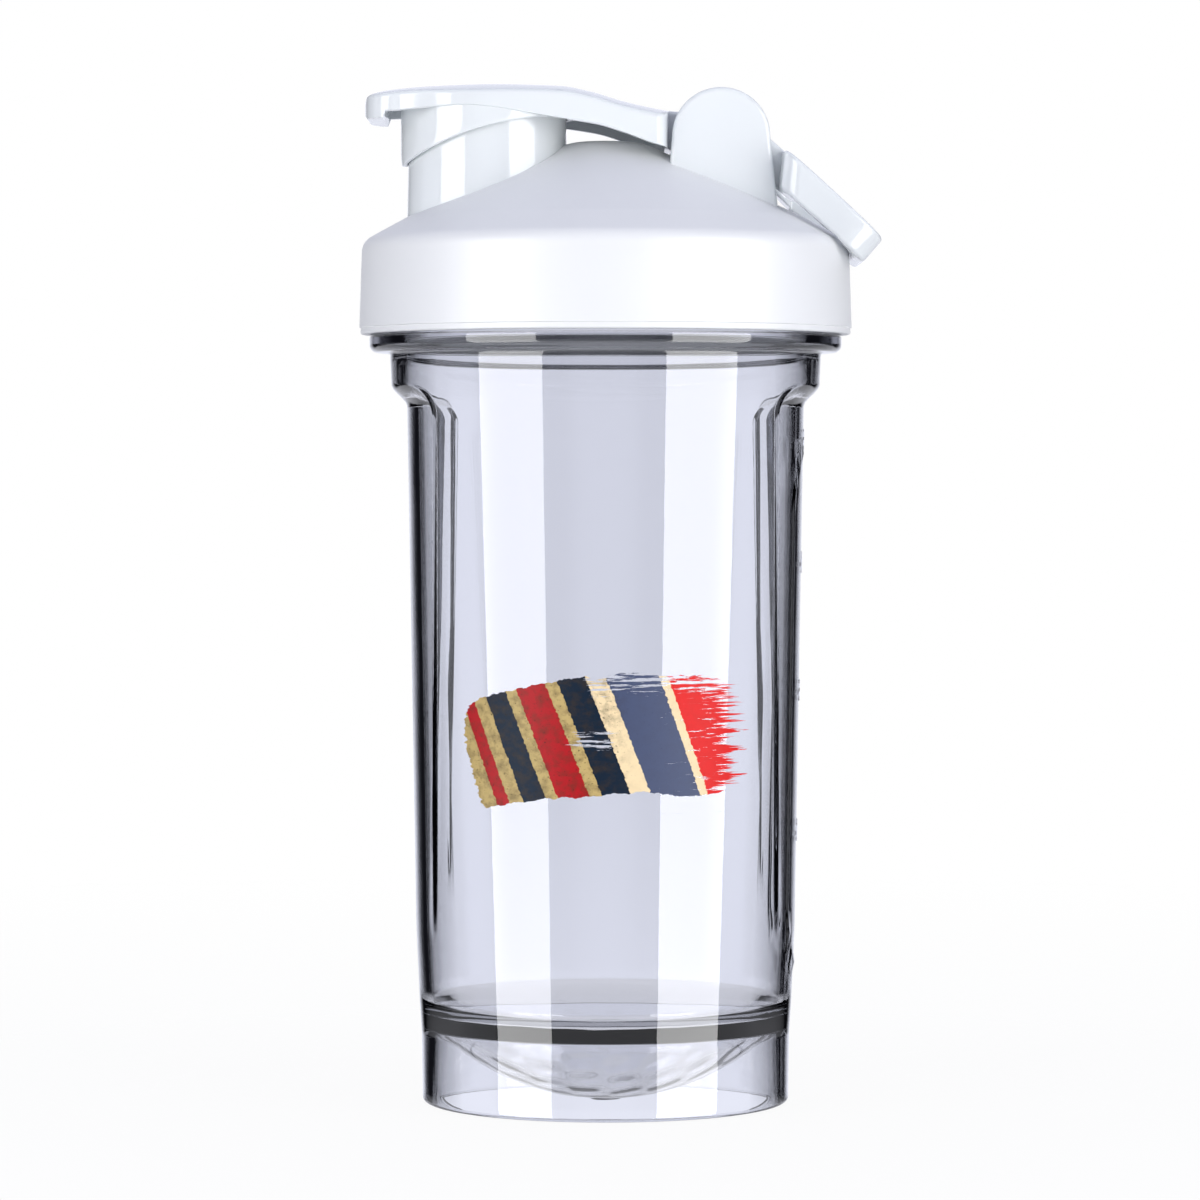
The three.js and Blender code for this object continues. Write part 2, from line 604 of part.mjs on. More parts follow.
// The loop from the side: a round hub, a flat arm set above the axis, and a deeper end bar.
function loopSide() {
  const [armLow, armHigh] = LOOP_ARM_T;
  const [barLow, barHigh] = LOOP_BAR_T;
  const hubEnd = (3 * Math.PI) / 2 + 0.9;
  const armStart = 12;
  const barStart = LOOP_LENGTH - 8;
  const round = 1.6;
  const shape = new THREE.Shape();
  shape.absarc(0, 0, armHigh, Math.PI / 2, hubEnd, false);
  shape.quadraticCurveTo(armStart - 4.5, armLow, armStart, armLow);
  shape.lineTo(barStart, armLow - 0.1);
  shape.lineTo(LOOP_LENGTH - round, barLow);
  shape.quadraticCurveTo(LOOP_LENGTH, barLow - 0.1, LOOP_LENGTH, barLow + 1.1);
  shape.lineTo(LOOP_LENGTH - 0.3, barHigh - 1.3);
  shape.quadraticCurveTo(LOOP_LENGTH - 0.5, barHigh - 0.1, LOOP_LENGTH - 2, barHigh);
  shape.closePath();
  return shape;
}

// Slides the flare towards the hinge with height, so that its front stands along the ear's edge.
function leanFlare(geometry) {
  const { smoothstep } = THREE.MathUtils;
  const position = geometry.attributes.position;
  for (let i = 0; i < position.count; i += 1) {
    const s = position.getX(i);
    const past = smoothstep(s, HUB_RADIUS, LOOP_FLARE_S - 2);
    const before = 1 - smoothstep(s, LOOP_FLARE_S + LOOP_FLARE_LENGTH + 1, LOOP_LENGTH - LOOP_BAR);
    position.setX(i, s - LOOP_FLARE_LEAN * position.getZ(i) * past * before);
  }
  return geometry;
}

function carryLoop() {
  const slope = THREE.MathUtils.degToRad(LOOP_SLOPE);
  const lie = (geometry) => geometry.rotateY(slope).translate(HINGE.x, 0, HINGE.y);
  const reach = HUB_RADIUS + 0.5;
  const outline = solid(lie(leanFlare(plate(loopOutline(), -reach, reach))));
  const side = solid(lie(slab(loopSide(), -LOOP_HALF - 1, LOOP_HALF + 1, 14)));
  const lidRoom = solid(turned(outerLidProfile(LID_ROOM)));
  const pinHole = solid(rod(PIN_HOLE_RADIUS, -LOOP_HALF, LOOP_HALF, HINGE.x, HINGE.y));
  return outline.intersect(side).subtract(lidRoom).subtract(pinHole);
}

// ---------------------------------------------------------------- assembly
const bottle = new THREE.Group();
bottle.name = 'protein_shaker_bottle';
bottle.position.x = CUP_AXIS_X;

function place(name, manifold, material, parent = bottle) {
  const mesh = new THREE.Mesh(geometryOf(manifold), material);
  mesh.name = name;
  parent.add(mesh);
}

place('cup', cup(), clearPlastic);

const lid = new THREE.Group();
bottle.add(lid);
place('lid_shell', lidShell(), whiteSatin, lid);
place('lid_seal', lidSeal(), silicone, lid);
place('hinge_pin', hingePin(), pinPlastic, lid);
place('flip_cap', flipCap(), whiteGloss, lid);
place('spout_plug', spoutPlug(), silicone, lid);
place('carry_loop', carryLoop(), whiteGloss, lid);

export default bottle;
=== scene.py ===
import json
import math

import bmesh
import bpy
import numpy as np
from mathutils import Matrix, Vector


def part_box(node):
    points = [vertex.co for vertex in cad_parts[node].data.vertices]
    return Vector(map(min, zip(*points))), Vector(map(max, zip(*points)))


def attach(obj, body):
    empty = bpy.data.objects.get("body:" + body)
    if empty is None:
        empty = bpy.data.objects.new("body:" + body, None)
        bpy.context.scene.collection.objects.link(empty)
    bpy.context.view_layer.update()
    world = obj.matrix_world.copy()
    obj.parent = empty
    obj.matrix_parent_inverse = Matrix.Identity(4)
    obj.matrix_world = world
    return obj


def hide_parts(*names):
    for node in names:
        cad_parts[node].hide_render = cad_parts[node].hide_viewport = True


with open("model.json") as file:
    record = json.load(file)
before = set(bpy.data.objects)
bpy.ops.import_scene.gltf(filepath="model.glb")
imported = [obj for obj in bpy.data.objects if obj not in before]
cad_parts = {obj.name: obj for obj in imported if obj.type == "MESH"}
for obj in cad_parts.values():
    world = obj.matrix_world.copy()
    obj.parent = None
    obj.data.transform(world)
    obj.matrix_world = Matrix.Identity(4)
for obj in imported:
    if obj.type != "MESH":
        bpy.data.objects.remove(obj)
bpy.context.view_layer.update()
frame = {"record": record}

MM = 0.001

# ------------------------------------------------------------------ places taken from the frame
JOINTS = {joint["name"]: joint for joint in frame["record"]["behaviour"]["joints"]}


def middle(node):
    low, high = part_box(node)
    return [(low[i] + high[i]) / 2 for i in range(3)]


AXIS_X = middle("cup")[0] / MM                      # the cup's axis, millimetres from the origin
HINGE_X = JOINTS["cap_flip"]["pos_m"][0] / MM - AXIS_X
HINGE_Z = JOINTS["cap_flip"]["pos_m"][2] / MM
SPOUT_X = middle("spout_plug")[0] / MM - AXIS_X
RIM_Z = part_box("cup")[1][2] / MM
TOP_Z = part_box("flip_cap")[1][2] / MM

# ------------------------------------------------------------------ sizes, millimetres
# cup
FOOT_R, FOOT_WALL = 36.6, 2.2
CUP_WALL = 2.3
BOWL_Z, BOWL_OUT_R, BOWL_IN_R = 49.2, 48.0, 45.5
FLOOR_Z, WALL_LOW_R = 20.0, 37.2
COLLAR_Z, WALL_TOP_R = 142.6, 42.7
FLANGE_R, FLANGE_LOW, FLANGE_HIGH = 47.1, 149.6, 152.8
NECK_R, MOUTH_R = 43.5, 40.3
RECESS_X, RECESS_TOP, RECESS_CORNER = 34.4, 141.0, 5.0
RECESS_SIDE_BLEND, RECESS_TOP_BLEND = 0.55, 2.2
RECESS_R, RECESS_TAPER = 37.3, 0.0165

# raised graduations on the +X recess: number and height, and the line round them
MARKS = [(200, 54.0), (300, 82.0), (400, 107.5), (500, 132.0)]
MARK_TEXT, MARK_MIDDLE_Z = 6.2, 90.0
BORDER_HALF, BORDER_LOW, BORDER_HIGH, BORDER_RISE = 12.6, 40.0, 118.0, 0.35
BORDER_PANEL_R, FAR = 38.5, 99.0

# flow ripples on the bowl: direction, waves per millimetre times 2 pi, phase
RIPPLES = [(0.3, 0.75, 0.4), (1.7, 0.95, 1.1), (2.6, 0.62, 2.3), (4.0, 1.15, 0.2)]
RIPPLE_INSIDE, RIPPLE_UNDER = 0.045, 0.02

# screw thread
LEAD, STARTS, THREAD_Z = 8.0, 2, 156.4
THREAD_ROOT, THREAD_CREST = 1.2, 0.6
CUP_THREAD_DEPTH, LID_THREAD_DEPTH = 2.0, 1.9

# lid
LID_LOW = 153.2
SKIRT_R, SKIRT_TOP_R, SKIRT_IN_R = 49.1, 48.6, 46.3
CONE_FOOT, CONE_HEAD, LID_TOP = (40.0, 176.3), (8.0, 191.4), 191.6
SHOULDER, SHOULDER_ROUND = (48.55, 171.6), 3.4
LID_WALL = 2.4
SEAT_Z, RING_OUT, RING_IN, RING_Z = 169.2, 39.6, 37.8, 165.5

# spout, ears, pin; a sunk foot is how far a spout or ear reaches under the cone's surface
SPOUT_LOW_R, SPOUT_TOP_R, BORE_R, SPOUT_Z = 16.1, 15.6, 13.6, 196.8
SPOUT_TAPER_Z, SPOUT_LIP = 174.0, 2.0
SPOUT_SUNK, EAR_SUNK = 1.9, 1.6
EAR_R, EAR_IN, EAR_OUT = 9.7, 9.9, 12.9
EAR_LEFT, EAR_RIGHT = 12.6, 34.1
HUB_R, HOLE_R = 6.2, 2.1
PIN_R, PIN_LOW, PIN_HIGH = 2.0, -11.6, 12.8
REAR_EAR_Y = 14.2                                   # middle of the cut that opens the rear ear's hole
CAP_HUB = 6.0
LOOP_HUB_IN, LOOP_HUB_OUT = 6.3, 9.6

# flip cap
CAP_TIP = -47.8
PLATE_R, ARM_HALF, TAB_HALF = 17.8, 16.0, 13.6
CAP_SKIN, CAP_WALL, CROWN = 2.4, 2.0, 2.1
GUARD_IN, GUARD_OUT, GUARD_TOP = 16.2, 17.3, 198.9
GUARD_CUT_X, GUARD_CUT_Z, GUARD_CUT_R = -6.0, 126.0, 70.0
BEND_X, NECK_X = 10.0, 12.6
SECTION_CUTS = 14                                   # pieces along each straight side of a section
TAB_REACH = 6.2                                     # how far back the tab's rounded end goes
TAB_BLUNT = 0.62                                    # 1 is an ellipse, less is blunter

# carry loop
SLOPE = math.radians(41)
LOOP_LEN, LOOP_HALF, LOOP_ARM, LOOP_BAR = 37.4, 19.5, 4.2, 5.2
LOOP_HUB_Y = 7.95                                   # middle of each hub and of the arm beside it
LOOP_GAP, LIFT_STEP, LIFT_TRIES = 0.45, 0.08, 40    # the loop is raised till it stands LOOP_GAP off the lid
SKIRT_KNEE_Z, SKIRT_LEAN = 168.5, 0.037
SHOULDER_KNEE, SHOULDER_SLOPE = (48.5, 171.9), 0.54
FLARE_S, FLARE_LEAN = 15.7, 0.7


# ------------------------------------------------------------------ small curve tools
def smooth(low, high, value):
    t = np.clip((value - low) / (high - low), 0, 1)
    return t * t * (3 - 2 * t)


def rounded(corners, arc_steps=6, step=None, straight=None, closed=False):
    """Points along a polyline of (a, b, radius) corners, each corner rounded to its radius.

    Straight runs are cut to about step long, or into a fixed number of straight pieces.
    """
    pts = [np.array(c[:2], float) for c in corners]
    radii = [c[2] if len(c) > 2 else 0.0 for c in corners]
    count = len(pts)
    out = []

    def run(a, b):
        length = np.linalg.norm(b - a)
        pieces = straight or (max(1, int(math.ceil(length / step))) if step else 1)
        for k in range(1, pieces):
            out.append(a + (b - a) * (k / pieces))

    previous = None
    for i in range(count):
        here = pts[i]
        if not closed and i in (0, count - 1):
            start = end = here
            arc = [here]
        else:
            before, after = pts[i - 1], pts[(i + 1) % count]
            u, v = before - here, after - here
            lu, lv = np.linalg.norm(u), np.linalg.norm(v)
            u, v = u / max(lu, 1e-9), v / max(lv, 1e-9)
            half = math.acos(float(np.clip(u @ v, -1, 1))) / 2
            reach = min(radii[i] / max(math.tan(half), 1e-6), 0.49 * lu, 0.49 * lv)
            start, end = here + u * reach, here + v * reach
            arc = []
            for k in range(arc_steps + 1):
                t = k / arc_steps
                weight = math.sin(half)
                a, b, c = (1 - t) ** 2, 2 * t * (1 - t) * weight, t ** 2
                arc.append((a * start + b * here + c * end) / (a + b + c))
        if previous is not None:
            run(previous, start)
        out.extend(arc)
        previous = end
    if closed:
        run(previous, out[0])
    return np.array(out)


def height_curve(knots):
    """A smooth function through (x, height) knots that never overshoots them."""
    xs = np.array([k[0] for k in knots], float)
    ys = np.array([k[1] for k in knots], float)
    slopes = np.diff(ys) / np.diff(xs)
    tangent = np.zeros(len(xs))
    tangent[0], tangent[-1] = slopes[0], slopes[-1]
    for i in range(1, len(xs) - 1):
        a, b = slopes[i - 1], slopes[i]
        tangent[i] = 0 if a * b <= 0 else 2 * a * b / (a + b)

    def at(x):
        x = np.clip(x, xs[0], xs[-1])
        i = np.clip(np.searchsorted(xs, x) - 1, 0, len(xs) - 2)
        width = xs[i + 1] - xs[i]
        t = (x - xs[i]) / width
        return ((2 * t**3 - 3 * t**2 + 1) * ys[i] + (t**3 - 2 * t**2 + t) * width * tangent[i]
                + (-2 * t**3 + 3 * t**2) * ys[i + 1] + (t**3 - t**2) * width * tangent[i + 1])

    return at


# ------------------------------------------------------------------ mesh tools
class Piece:
    """Collects vertices (millimetres from the cup's axis) and faces for one object."""

    def __init__(self, name):
        self.name = name
        self.verts = []
        self.faces = []
        self.slots = []

    def add(self, points, faces, slot=0):
        base = len(self.verts)
        self.verts.extend(np.asarray(points, float).reshape(-1, 3).tolist())
        self.faces.extend([[base + i for i in face] for face in faces])
        self.slots.extend([slot] * len(faces))

    def grid(self, points, close_rows=False, close_columns=False, caps=False, slot=0):
        """points is rows x columns x 3. Rows join to the next row, columns to the next column."""
        rows, columns = points.shape[:2]
        faces = []
        for i in range(rows if close_rows else rows - 1):
            for j in range(columns if close_columns else columns - 1):
                a, b = i * columns + j, i * columns + (j + 1) % columns
                c, d = ((i + 1) % rows) * columns + (j + 1) % columns, ((i + 1) % rows) * columns + j
                faces.append([a, b, c, d])
        if caps:
            faces.append(list(range(columns))[::-1])
            faces.append([(rows - 1) * columns + j for j in range(columns)])
        self.add(points.reshape(-1, 3), faces, slot)

    def build(self, materials, sharp=35.0, weighted=True, merge=True):
        points = np.array(self.verts)
        points[:, 0] += AXIS_X
        mesh = bpy.data.meshes.new(self.name)
        mesh.from_pydata((points * MM).tolist(), [], self.faces)
        mesh.polygons.foreach_set("material_index", self.slots)
        for material in materials:
            mesh.materials.append(material)
        bm = bmesh.new()
        bm.from_mesh(mesh)
        if merge:
            bmesh.ops.remove_doubles(bm, verts=bm.verts, dist=2e-7)
            bmesh.ops.dissolve_degenerate(bm, edges=bm.edges, dist=1e-7)
            bmesh.ops.recalc_face_normals(bm, faces=bm.faces)
        limit = math.radians(sharp)
        for edge in bm.edges:
            wide = len(edge.link_faces) == 2 and edge.calc_face_angle(0.0) > limit
            edge.smooth = not wide
        for face in bm.faces:
            face.smooth = True
        bm.to_mesh(mesh)
        bm.free()
        obj = bpy.data.objects.new(self.name, mesh)
        bpy.context.scene.collection.objects.link(obj)
        if weighted:
            modifier = obj.modifiers.new("weighted_normals", "WEIGHTED_NORMAL")
            modifier.keep_sharp = True
            modifier.weight = 60
        return obj


def ring_angles(count=192):
    return np.arange(count) * 2 * math.pi / count


def revolve(piece, profile, angles=None, centre=(0.0, 0.0), slot=0, radial=None, lift=None, closed=False):
    """A turned surface about a vertical axis. radial(angle, r, z) moves each point out, lift up."""
    angles = ring_angles() if angles is None else angles
    r = np.repeat(profile[:, 0][:, None], len(angles), 1)
    z = np.repeat(profile[:, 1][:, None], len(angles), 1)
    a = np.repeat(angles[None, :], len(profile), 0)
    if lift is not None:
        z = z + lift(a, r, z)
    if radial is not None:
        r = r + radial(a, r, z)
    points = np.stack([centre[0] + r * np.cos(a), centre[1] + r * np.sin(a), z], -1)
    piece.grid(points, close_rows=closed, close_columns=True, slot=slot)


def hub_ring(piece, inner, outer, low_y, high_y, bevel=0.5, slot=0, steps=72):
    """A round boss about the hinge axis, with a hole for the pin."""
    profile = rounded([(inner, low_y, 0.15), (outer, low_y, bevel), (outer, high_y, bevel),
                       (inner, high_y, 0.15)], 4, closed=True)
    a = ring_angles(steps)
    r = profile[:, 0][:, None]
    points = np.stack([HINGE_X + r * np.cos(a), np.repeat(profile[:, 1][:, None], steps, 1),
                       HINGE_Z + r * np.sin(a)], -1)
    piece.grid(points, close_rows=True, close_columns=True, slot=slot)


def finish_piece(obj, body, slot, *nodes):
    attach(obj, body)
    if nodes:
        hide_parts(*nodes)


# ------------------------------------------------------------------ material tools
def new_material(name):
    material = bpy.data.materials.new(name)
    material.use_nodes = True
    tree = material.node_tree
    return material, tree, tree.nodes["Principled BSDF"]


def node(tree, kind, inputs=None, **settings):
    """A shader node with its settings, and its inputs set to values or linked to sockets."""
    made = tree.nodes.new(kind)
    for key, value in settings.items():
        setattr(made, key, value)
    for key, value in (inputs or {}).items():
        if isinstance(value, bpy.types.NodeSocket):
            tree.links.new(value, made.inputs[key])
        else:
            made.inputs[key].default_value = value
    return made


def math_node(tree, operation, a, b=0.0, clamp=False):
    return node(tree, "ShaderNodeMath", {0: a, 1: b}, operation=operation, use_clamp=clamp).outputs[0]


def noise(tree, scale, detail=3.0, vector=None, roughness=0.55):
    inputs = {"Scale": scale, "Detail": detail, "Roughness": roughness}
    if vector is not None:
        inputs["Vector"] = vector
    return node(tree, "ShaderNodeTexNoise", inputs).outputs["Fac"]


def remap(tree, value, low, high, to_low=0.0, to_high=1.0):
    made = node(tree, "ShaderNodeMapRange", {0: value, 1: low, 2: high, 3: to_low, 4: to_high})
    return made.outputs[0]


def mix_colour(tree, factor, a, b):
    made = node(tree, "ShaderNodeMix", {0: factor}, data_type="RGBA")
    for index, value in ((6, a), (7, b)):
        if isinstance(value, bpy.types.NodeSocket):
            tree.links.new(value, made.inputs[index])
        else:
            made.inputs[index].default_value = (*value, 1.0)
    return made.outputs[2]


def object_coordinates(tree):
    return node(tree, "ShaderNodeTexCoord").outputs["Object"]


def moulded_plastic(name, colour, shade, rough, grain, bump, ior=1.49):
    """Opaque moulded plastic: faint colour drift, fine surface grain and uneven polish."""
    material, tree, shader = new_material(name)
    where = object_coordinates(tree)
    drift = noise(tree, 35.0, 2.0, where)
    fine = noise(tree, grain, 4.0, where)
    scuffs = noise(tree, 420.0, 5.0, where, 0.7)
    tint = mix_colour(tree, remap(tree, drift, 0.3, 0.7), colour, shade)
    polish = math_node(tree, "ADD", remap(tree, scuffs, 0.35, 0.75, rough - 0.03, rough + 0.05),
                       remap(tree, drift, 0.3, 0.7, -0.02, 0.02))
    tree.links.new(tint, shader.inputs["Base Color"])
    tree.links.new(polish, shader.inputs["Roughness"])
    shader.inputs["IOR"].default_value = ior
    height = node(tree, "ShaderNodeBump", {"Strength": bump, "Distance": 0.00004, "Height": fine})
    tree.links.new(height.outputs[0], shader.inputs["Normal"])
    return material


def clear_plastic():
    """Clear copolyester with a slight cool tint: glossy, a little uneven from the mould."""
    material, tree, shader = new_material("clear_copolyester")
    where = object_coordinates(tree)
    shader.inputs["Base Color"].default_value = (0.985, 0.988, 1.0, 1.0)
    shader.inputs["Transmission Weight"].default_value = 1.0
    shader.inputs["IOR"].default_value = 1.56
    haze = noise(tree, 160.0, 5.0, where, 0.7)
    tree.links.new(remap(tree, haze, 0.5, 0.85, 0.0, 0.03), shader.inputs["Roughness"])
    wave = noise(tree, 38.0, 2.0, where)
    height = node(tree, "ShaderNodeBump", {"Strength": 0.12, "Distance": 0.0003, "Height": wave})
    tree.links.new(height.outputs[0], shader.inputs["Normal"])
    volume = node(tree, "ShaderNodeVolumeAbsorption", {"Color": (0.10, 0.12, 0.20, 1.0),
                                                       "Density": 44.0})
    tree.links.new(volume.outputs[0], tree.nodes["Material Output"].inputs["Volume"])
    return material


# ------------------------------------------------------------------ the printed brush stroke
PRINT_HALF_ANGLE = math.radians(46)
PRINT_Z, INK_LIFT = (60.0, 87.6), 0.06


def float_curve(tree, value, points):
    """A smooth curve through a few points between 0 and 1."""
    made = node(tree, "ShaderNodeFloatCurve", {1: value})
    curve = made.mapping.curves[0]
    curve.points[0].location, curve.points[1].location = points[0], points[-1]
    for x, y in points[1:-1]:
        curve.points.new(x, y)
    made.mapping.update()
    return made.outputs[0]


def print_ink():
    """One brush stroke in slanted stripes of colour, worn and scratched like screen-printed ink."""
    material, tree, shader = new_material("print_ink")
    uv = node(tree, "ShaderNodeUVMap", uv_map="stroke").outputs[0]
    split = node(tree, "ShaderNodeSeparateXYZ", {0: uv})
    u, v = split.outputs[0], split.outputs[1]

    def stretched(scale_u, scale_v, seed, detail=4.0, roughness=0.6):
        mapped = node(tree, "ShaderNodeMapping", {0: uv, 1: (seed, seed * 0.7, 0.0),
                                                  3: (scale_u, scale_v, 1.0)}).outputs[0]
        return noise(tree, 1.0, detail, mapped, roughness)

    def shifted(value, scale_u, scale_v, seed, amount):
        return math_node(tree, "ADD", value, remap(tree, stretched(scale_u, scale_v, seed, 5.0),
                                                   0.3, 0.7, -amount, amount))

    # straight stripes that lean with the stroke, with slightly rough borders
    lean = math_node(tree, "MULTIPLY", math_node(tree, "SUBTRACT", v, 0.5), 0.17)
    across = shifted(math_node(tree, "ADD", u, lean), 60.0, 30.0, 4.1, 0.004)
    bands = node(tree, "ShaderNodeValToRGB", {0: across})
    ramp = bands.color_ramp
    ramp.interpolation = "CONSTANT"
    navy, tan, red = (0.003, 0.012, 0.028, 1), (0.50, 0.37, 0.145, 1), (0.41, 0.005, 0.010, 1)
    slate, bright, cream = (0.062, 0.080, 0.150, 1), (0.70, 0.006, 0.006, 1), (0.83, 0.66, 0.40, 1)
    stops = [(0.0, tan), (0.07, red), (0.115, tan), (0.165, navy), (0.245, tan), (0.285, red),
             (0.385, tan), (0.425, navy), (0.515, cream), (0.575, slate), (0.735, cream),
             (0.765, bright)]
    ramp.elements[0].position, ramp.elements[0].color = stops[0]
    ramp.elements[1].position, ramp.elements[1].color = stops[1]
    for position, colour in stops[2:]:
        ramp.elements.new(position).color = colour
    left_part = remap(tree, u, 0.50, 0.58, 1.0, 0.15)
    grime = math_node(tree, "MULTIPLY", remap(tree, stretched(30.0, 15.0, 2.3, 7.0), 0.44, 0.66, 0.0, 0.5),
                      left_part)
    stained = mix_colour(tree, grime, bands.outputs[0], (0.04, 0.025, 0.012))
    fine = stretched(95.0, 48.0, 7.7, 4.0, 0.7)
    speck = math_node(tree, "MULTIPLY", remap(tree, fine, 0.60, 0.68), left_part)
    inked = mix_colour(tree, speck, stained, (0.012, 0.009, 0.008))
    tree.links.new(inked, shader.inputs["Base Color"])
    tree.links.new(remap(tree, fine, 0.3, 0.7, 0.38, 0.55), shader.inputs["Roughness"])
    shader.inputs["IOR"].default_value = 1.45
    shader.inputs["Specular IOR Level"].default_value = 0.12

    # the stroke's outline: a rising top edge, a sagging bottom edge and a ragged dry end
    top = float_curve(tree, u, [(0.0, 0.62), (0.06, 0.76), (0.145, 0.83), (0.28, 0.89), (0.40, 0.945),
                                (0.56, 0.98), (0.70, 0.972), (0.80, 0.955), (1.0, 0.82)])
    bottom = float_curve(tree, u, [(0.0, 0.02), (0.12, 0.03), (0.24, 0.08), (0.50, 0.135), (0.65, 0.15),
                                   (0.77, 0.11), (1.0, 0.24)])
    left = float_curve(tree, v, [(0.0, 0.10), (0.2, 0.065), (0.45, 0.032), (0.62, 0.03), (0.8, 0.06),
                                 (1.0, 0.14)])
    strands = remap(tree, stretched(1.6, 42.0, 9.2, 6.0, 0.65), 0.36, 0.64, 0.84, 0.985)
    inside = [math_node(tree, "LESS_THAN", shifted(v, 26.0, 5.0, 5.5, 0.018), top),
              math_node(tree, "GREATER_THAN", shifted(v, 20.0, 4.0, 6.1, 0.016), bottom),
              math_node(tree, "GREATER_THAN", shifted(u, 6.0, 30.0, 8.3, 0.012), left),
              math_node(tree, "LESS_THAN", shifted(u, 3.0, 60.0, 1.2, 0.012), strands)]

    # dry-brush gaps: along the top, in the middle and towards the dry end
    scratches = stretched(9.0, 46.0, 3.3, 7.0, 0.68)
    near_top = float_curve(tree, math_node(tree, "SUBTRACT", top, v, clamp=True),
                           [(0.0, 0.52), (0.05, 0.50), (0.14, 0.40), (0.22, 0.30), (1.0, 0.27)])
    dry_top = remap(tree, u, 0.36, 0.46, 0.0, 1.0)
    centre = math_node(tree, "ABSOLUTE", math_node(tree, "SUBTRACT", u, 0.46))
    level = math_node(tree, "ABSOLUTE", math_node(tree, "SUBTRACT", v, 0.52))
    patch = math_node(tree, "MULTIPLY", remap(tree, centre, 0.05, 0.16, 0.47, 0.0),
                      remap(tree, level, 0.05, 0.2, 1.0, 0.0))
    dry_end = remap(tree, u, 0.60, 0.95, 0.30, 0.44)
    limit = math_node(tree, "MAXIMUM", math_node(tree, "MULTIPLY", near_top, dry_top),
                      math_node(tree, "MAXIMUM", patch, dry_end))
    inside.append(math_node(tree, "GREATER_THAN", scratches, limit))
    mask = inside[0]
    for part in inside[1:]:
        mask = math_node(tree, "MULTIPLY", mask, part)
    tree.links.new(mask, shader.inputs["Alpha"])
    return material


def printed_stroke(material):
    """A thin skin just proud of the cup's front, with its own flat coordinates."""
    columns, rows = 121, 41
    u = np.linspace(0, 1, columns)
    v = np.linspace(0, 1, rows)
    angle = -math.pi / 2 + (u * 2 - 1) * PRINT_HALF_ANGLE
    z = PRINT_Z[0] + v * (PRINT_Z[1] - PRINT_Z[0])
    radius = wall_radius(z)[:, None] + INK_LIFT
    points = np.stack([radius * np.cos(angle), radius * np.sin(angle),
                       np.repeat(z[:, None], columns, 1)], -1)
    piece = Piece("printed_stroke")
    piece.grid(points)
    obj = piece.build([material], weighted=False, merge=False)
    layer = obj.data.uv_layers.new(name="stroke")
    for loop in obj.data.loops:
        row, column = divmod(loop.vertex_index, columns)
        layer.data[loop.index].uv = (u[column], v[row])
    finish_piece(obj, "cup", "clear_plastic")


# ------------------------------------------------------------------ cup
def wall_radius(z):
    return WALL_LOW_R + (z - FLOOR_Z) / (COLLAR_Z - FLOOR_Z) * (WALL_TOP_R - WALL_LOW_R)


def recess_depth(angle, z):
    """How deep the grip recesses are: a short step at their sides and a soft one at the top."""
    full = wall_radius(z)
    side = np.abs(full * np.cos(angle)) - RECESS_X
    to_side = np.maximum(RECESS_CORNER - side, 0)
    to_top = np.maximum(RECESS_CORNER - (RECESS_TOP - z), 0)
    inside = RECESS_CORNER - np.hypot(to_side, to_top)
    top_share = np.arctan2(to_top, to_side) / (math.pi / 2)
    blend = RECESS_SIDE_BLEND + (RECESS_TOP_BLEND - RECESS_SIDE_BLEND) * top_share
    depth = np.maximum(0, full - (RECESS_R + RECESS_TAPER * z)) * smooth(-blend, blend, inside)
    return np.where((z > FLOOR_Z) & (z < RECESS_TOP + RECESS_TOP_BLEND), depth, 0)


def scale_border(angle, z):
    """A fine raised line round the graduated panel on the +X side."""
    across = np.where(np.cos(angle) > 0, np.sin(angle) * BORDER_PANEL_R, FAR)
    beyond = np.maximum(np.maximum(BORDER_LOW - z, z - BORDER_HIGH), 0)
    off = np.abs(np.hypot(across, beyond) - BORDER_HALF)
    return BORDER_RISE * smooth(0.9, 0.2, off)


def thread(angle, z, depth, middle_z, first, last):
    """Height of a helical ridge above the plain neck, for both starts."""
    ridge = np.zeros_like(z)
    for start in range(STARTS):
        for turn in (-1, 0, 1):
            u = angle / (2 * math.pi) - start / STARTS + turn
            off = np.abs(z - (middle_z + LEAD * u))
            fade = smooth(first, first + 0.07, u) * smooth(last, last - 0.07, u)
            shape = np.clip((THREAD_ROOT - off) / (THREAD_ROOT - THREAD_CREST), 0, 1)
            ridge = np.maximum(ridge, shape * fade)
    return ridge * depth


def cup_angles():
    """Angles round the cup, closer together at the recess edges and the scale border."""
    fine = []
    for centre in (0.0, math.pi):
        for side in (-1, 1):
            fine += [centre + side * math.radians(d) for d in np.arange(22.0, 38.0, 0.4)]
    fine += [side * math.radians(d) for side in (-1, 1) for d in np.arange(16.0, 21.9, 0.6)]
    coarse = [math.radians(d) for d in np.arange(0, 360, 2.5)]
    taken = np.sort(np.mod(np.array(fine), 2 * math.pi))
    keep = [c for c in coarse if np.abs(taken - c).min() > math.radians(1.1)]
    return np.sort(np.concatenate([taken, keep]))


def bowl(radius, start, stop, steps):
    r = np.linspace(start, stop, steps)
    return [(x, BOWL_Z - math.sqrt(radius ** 2 - x * x)) for x in r]


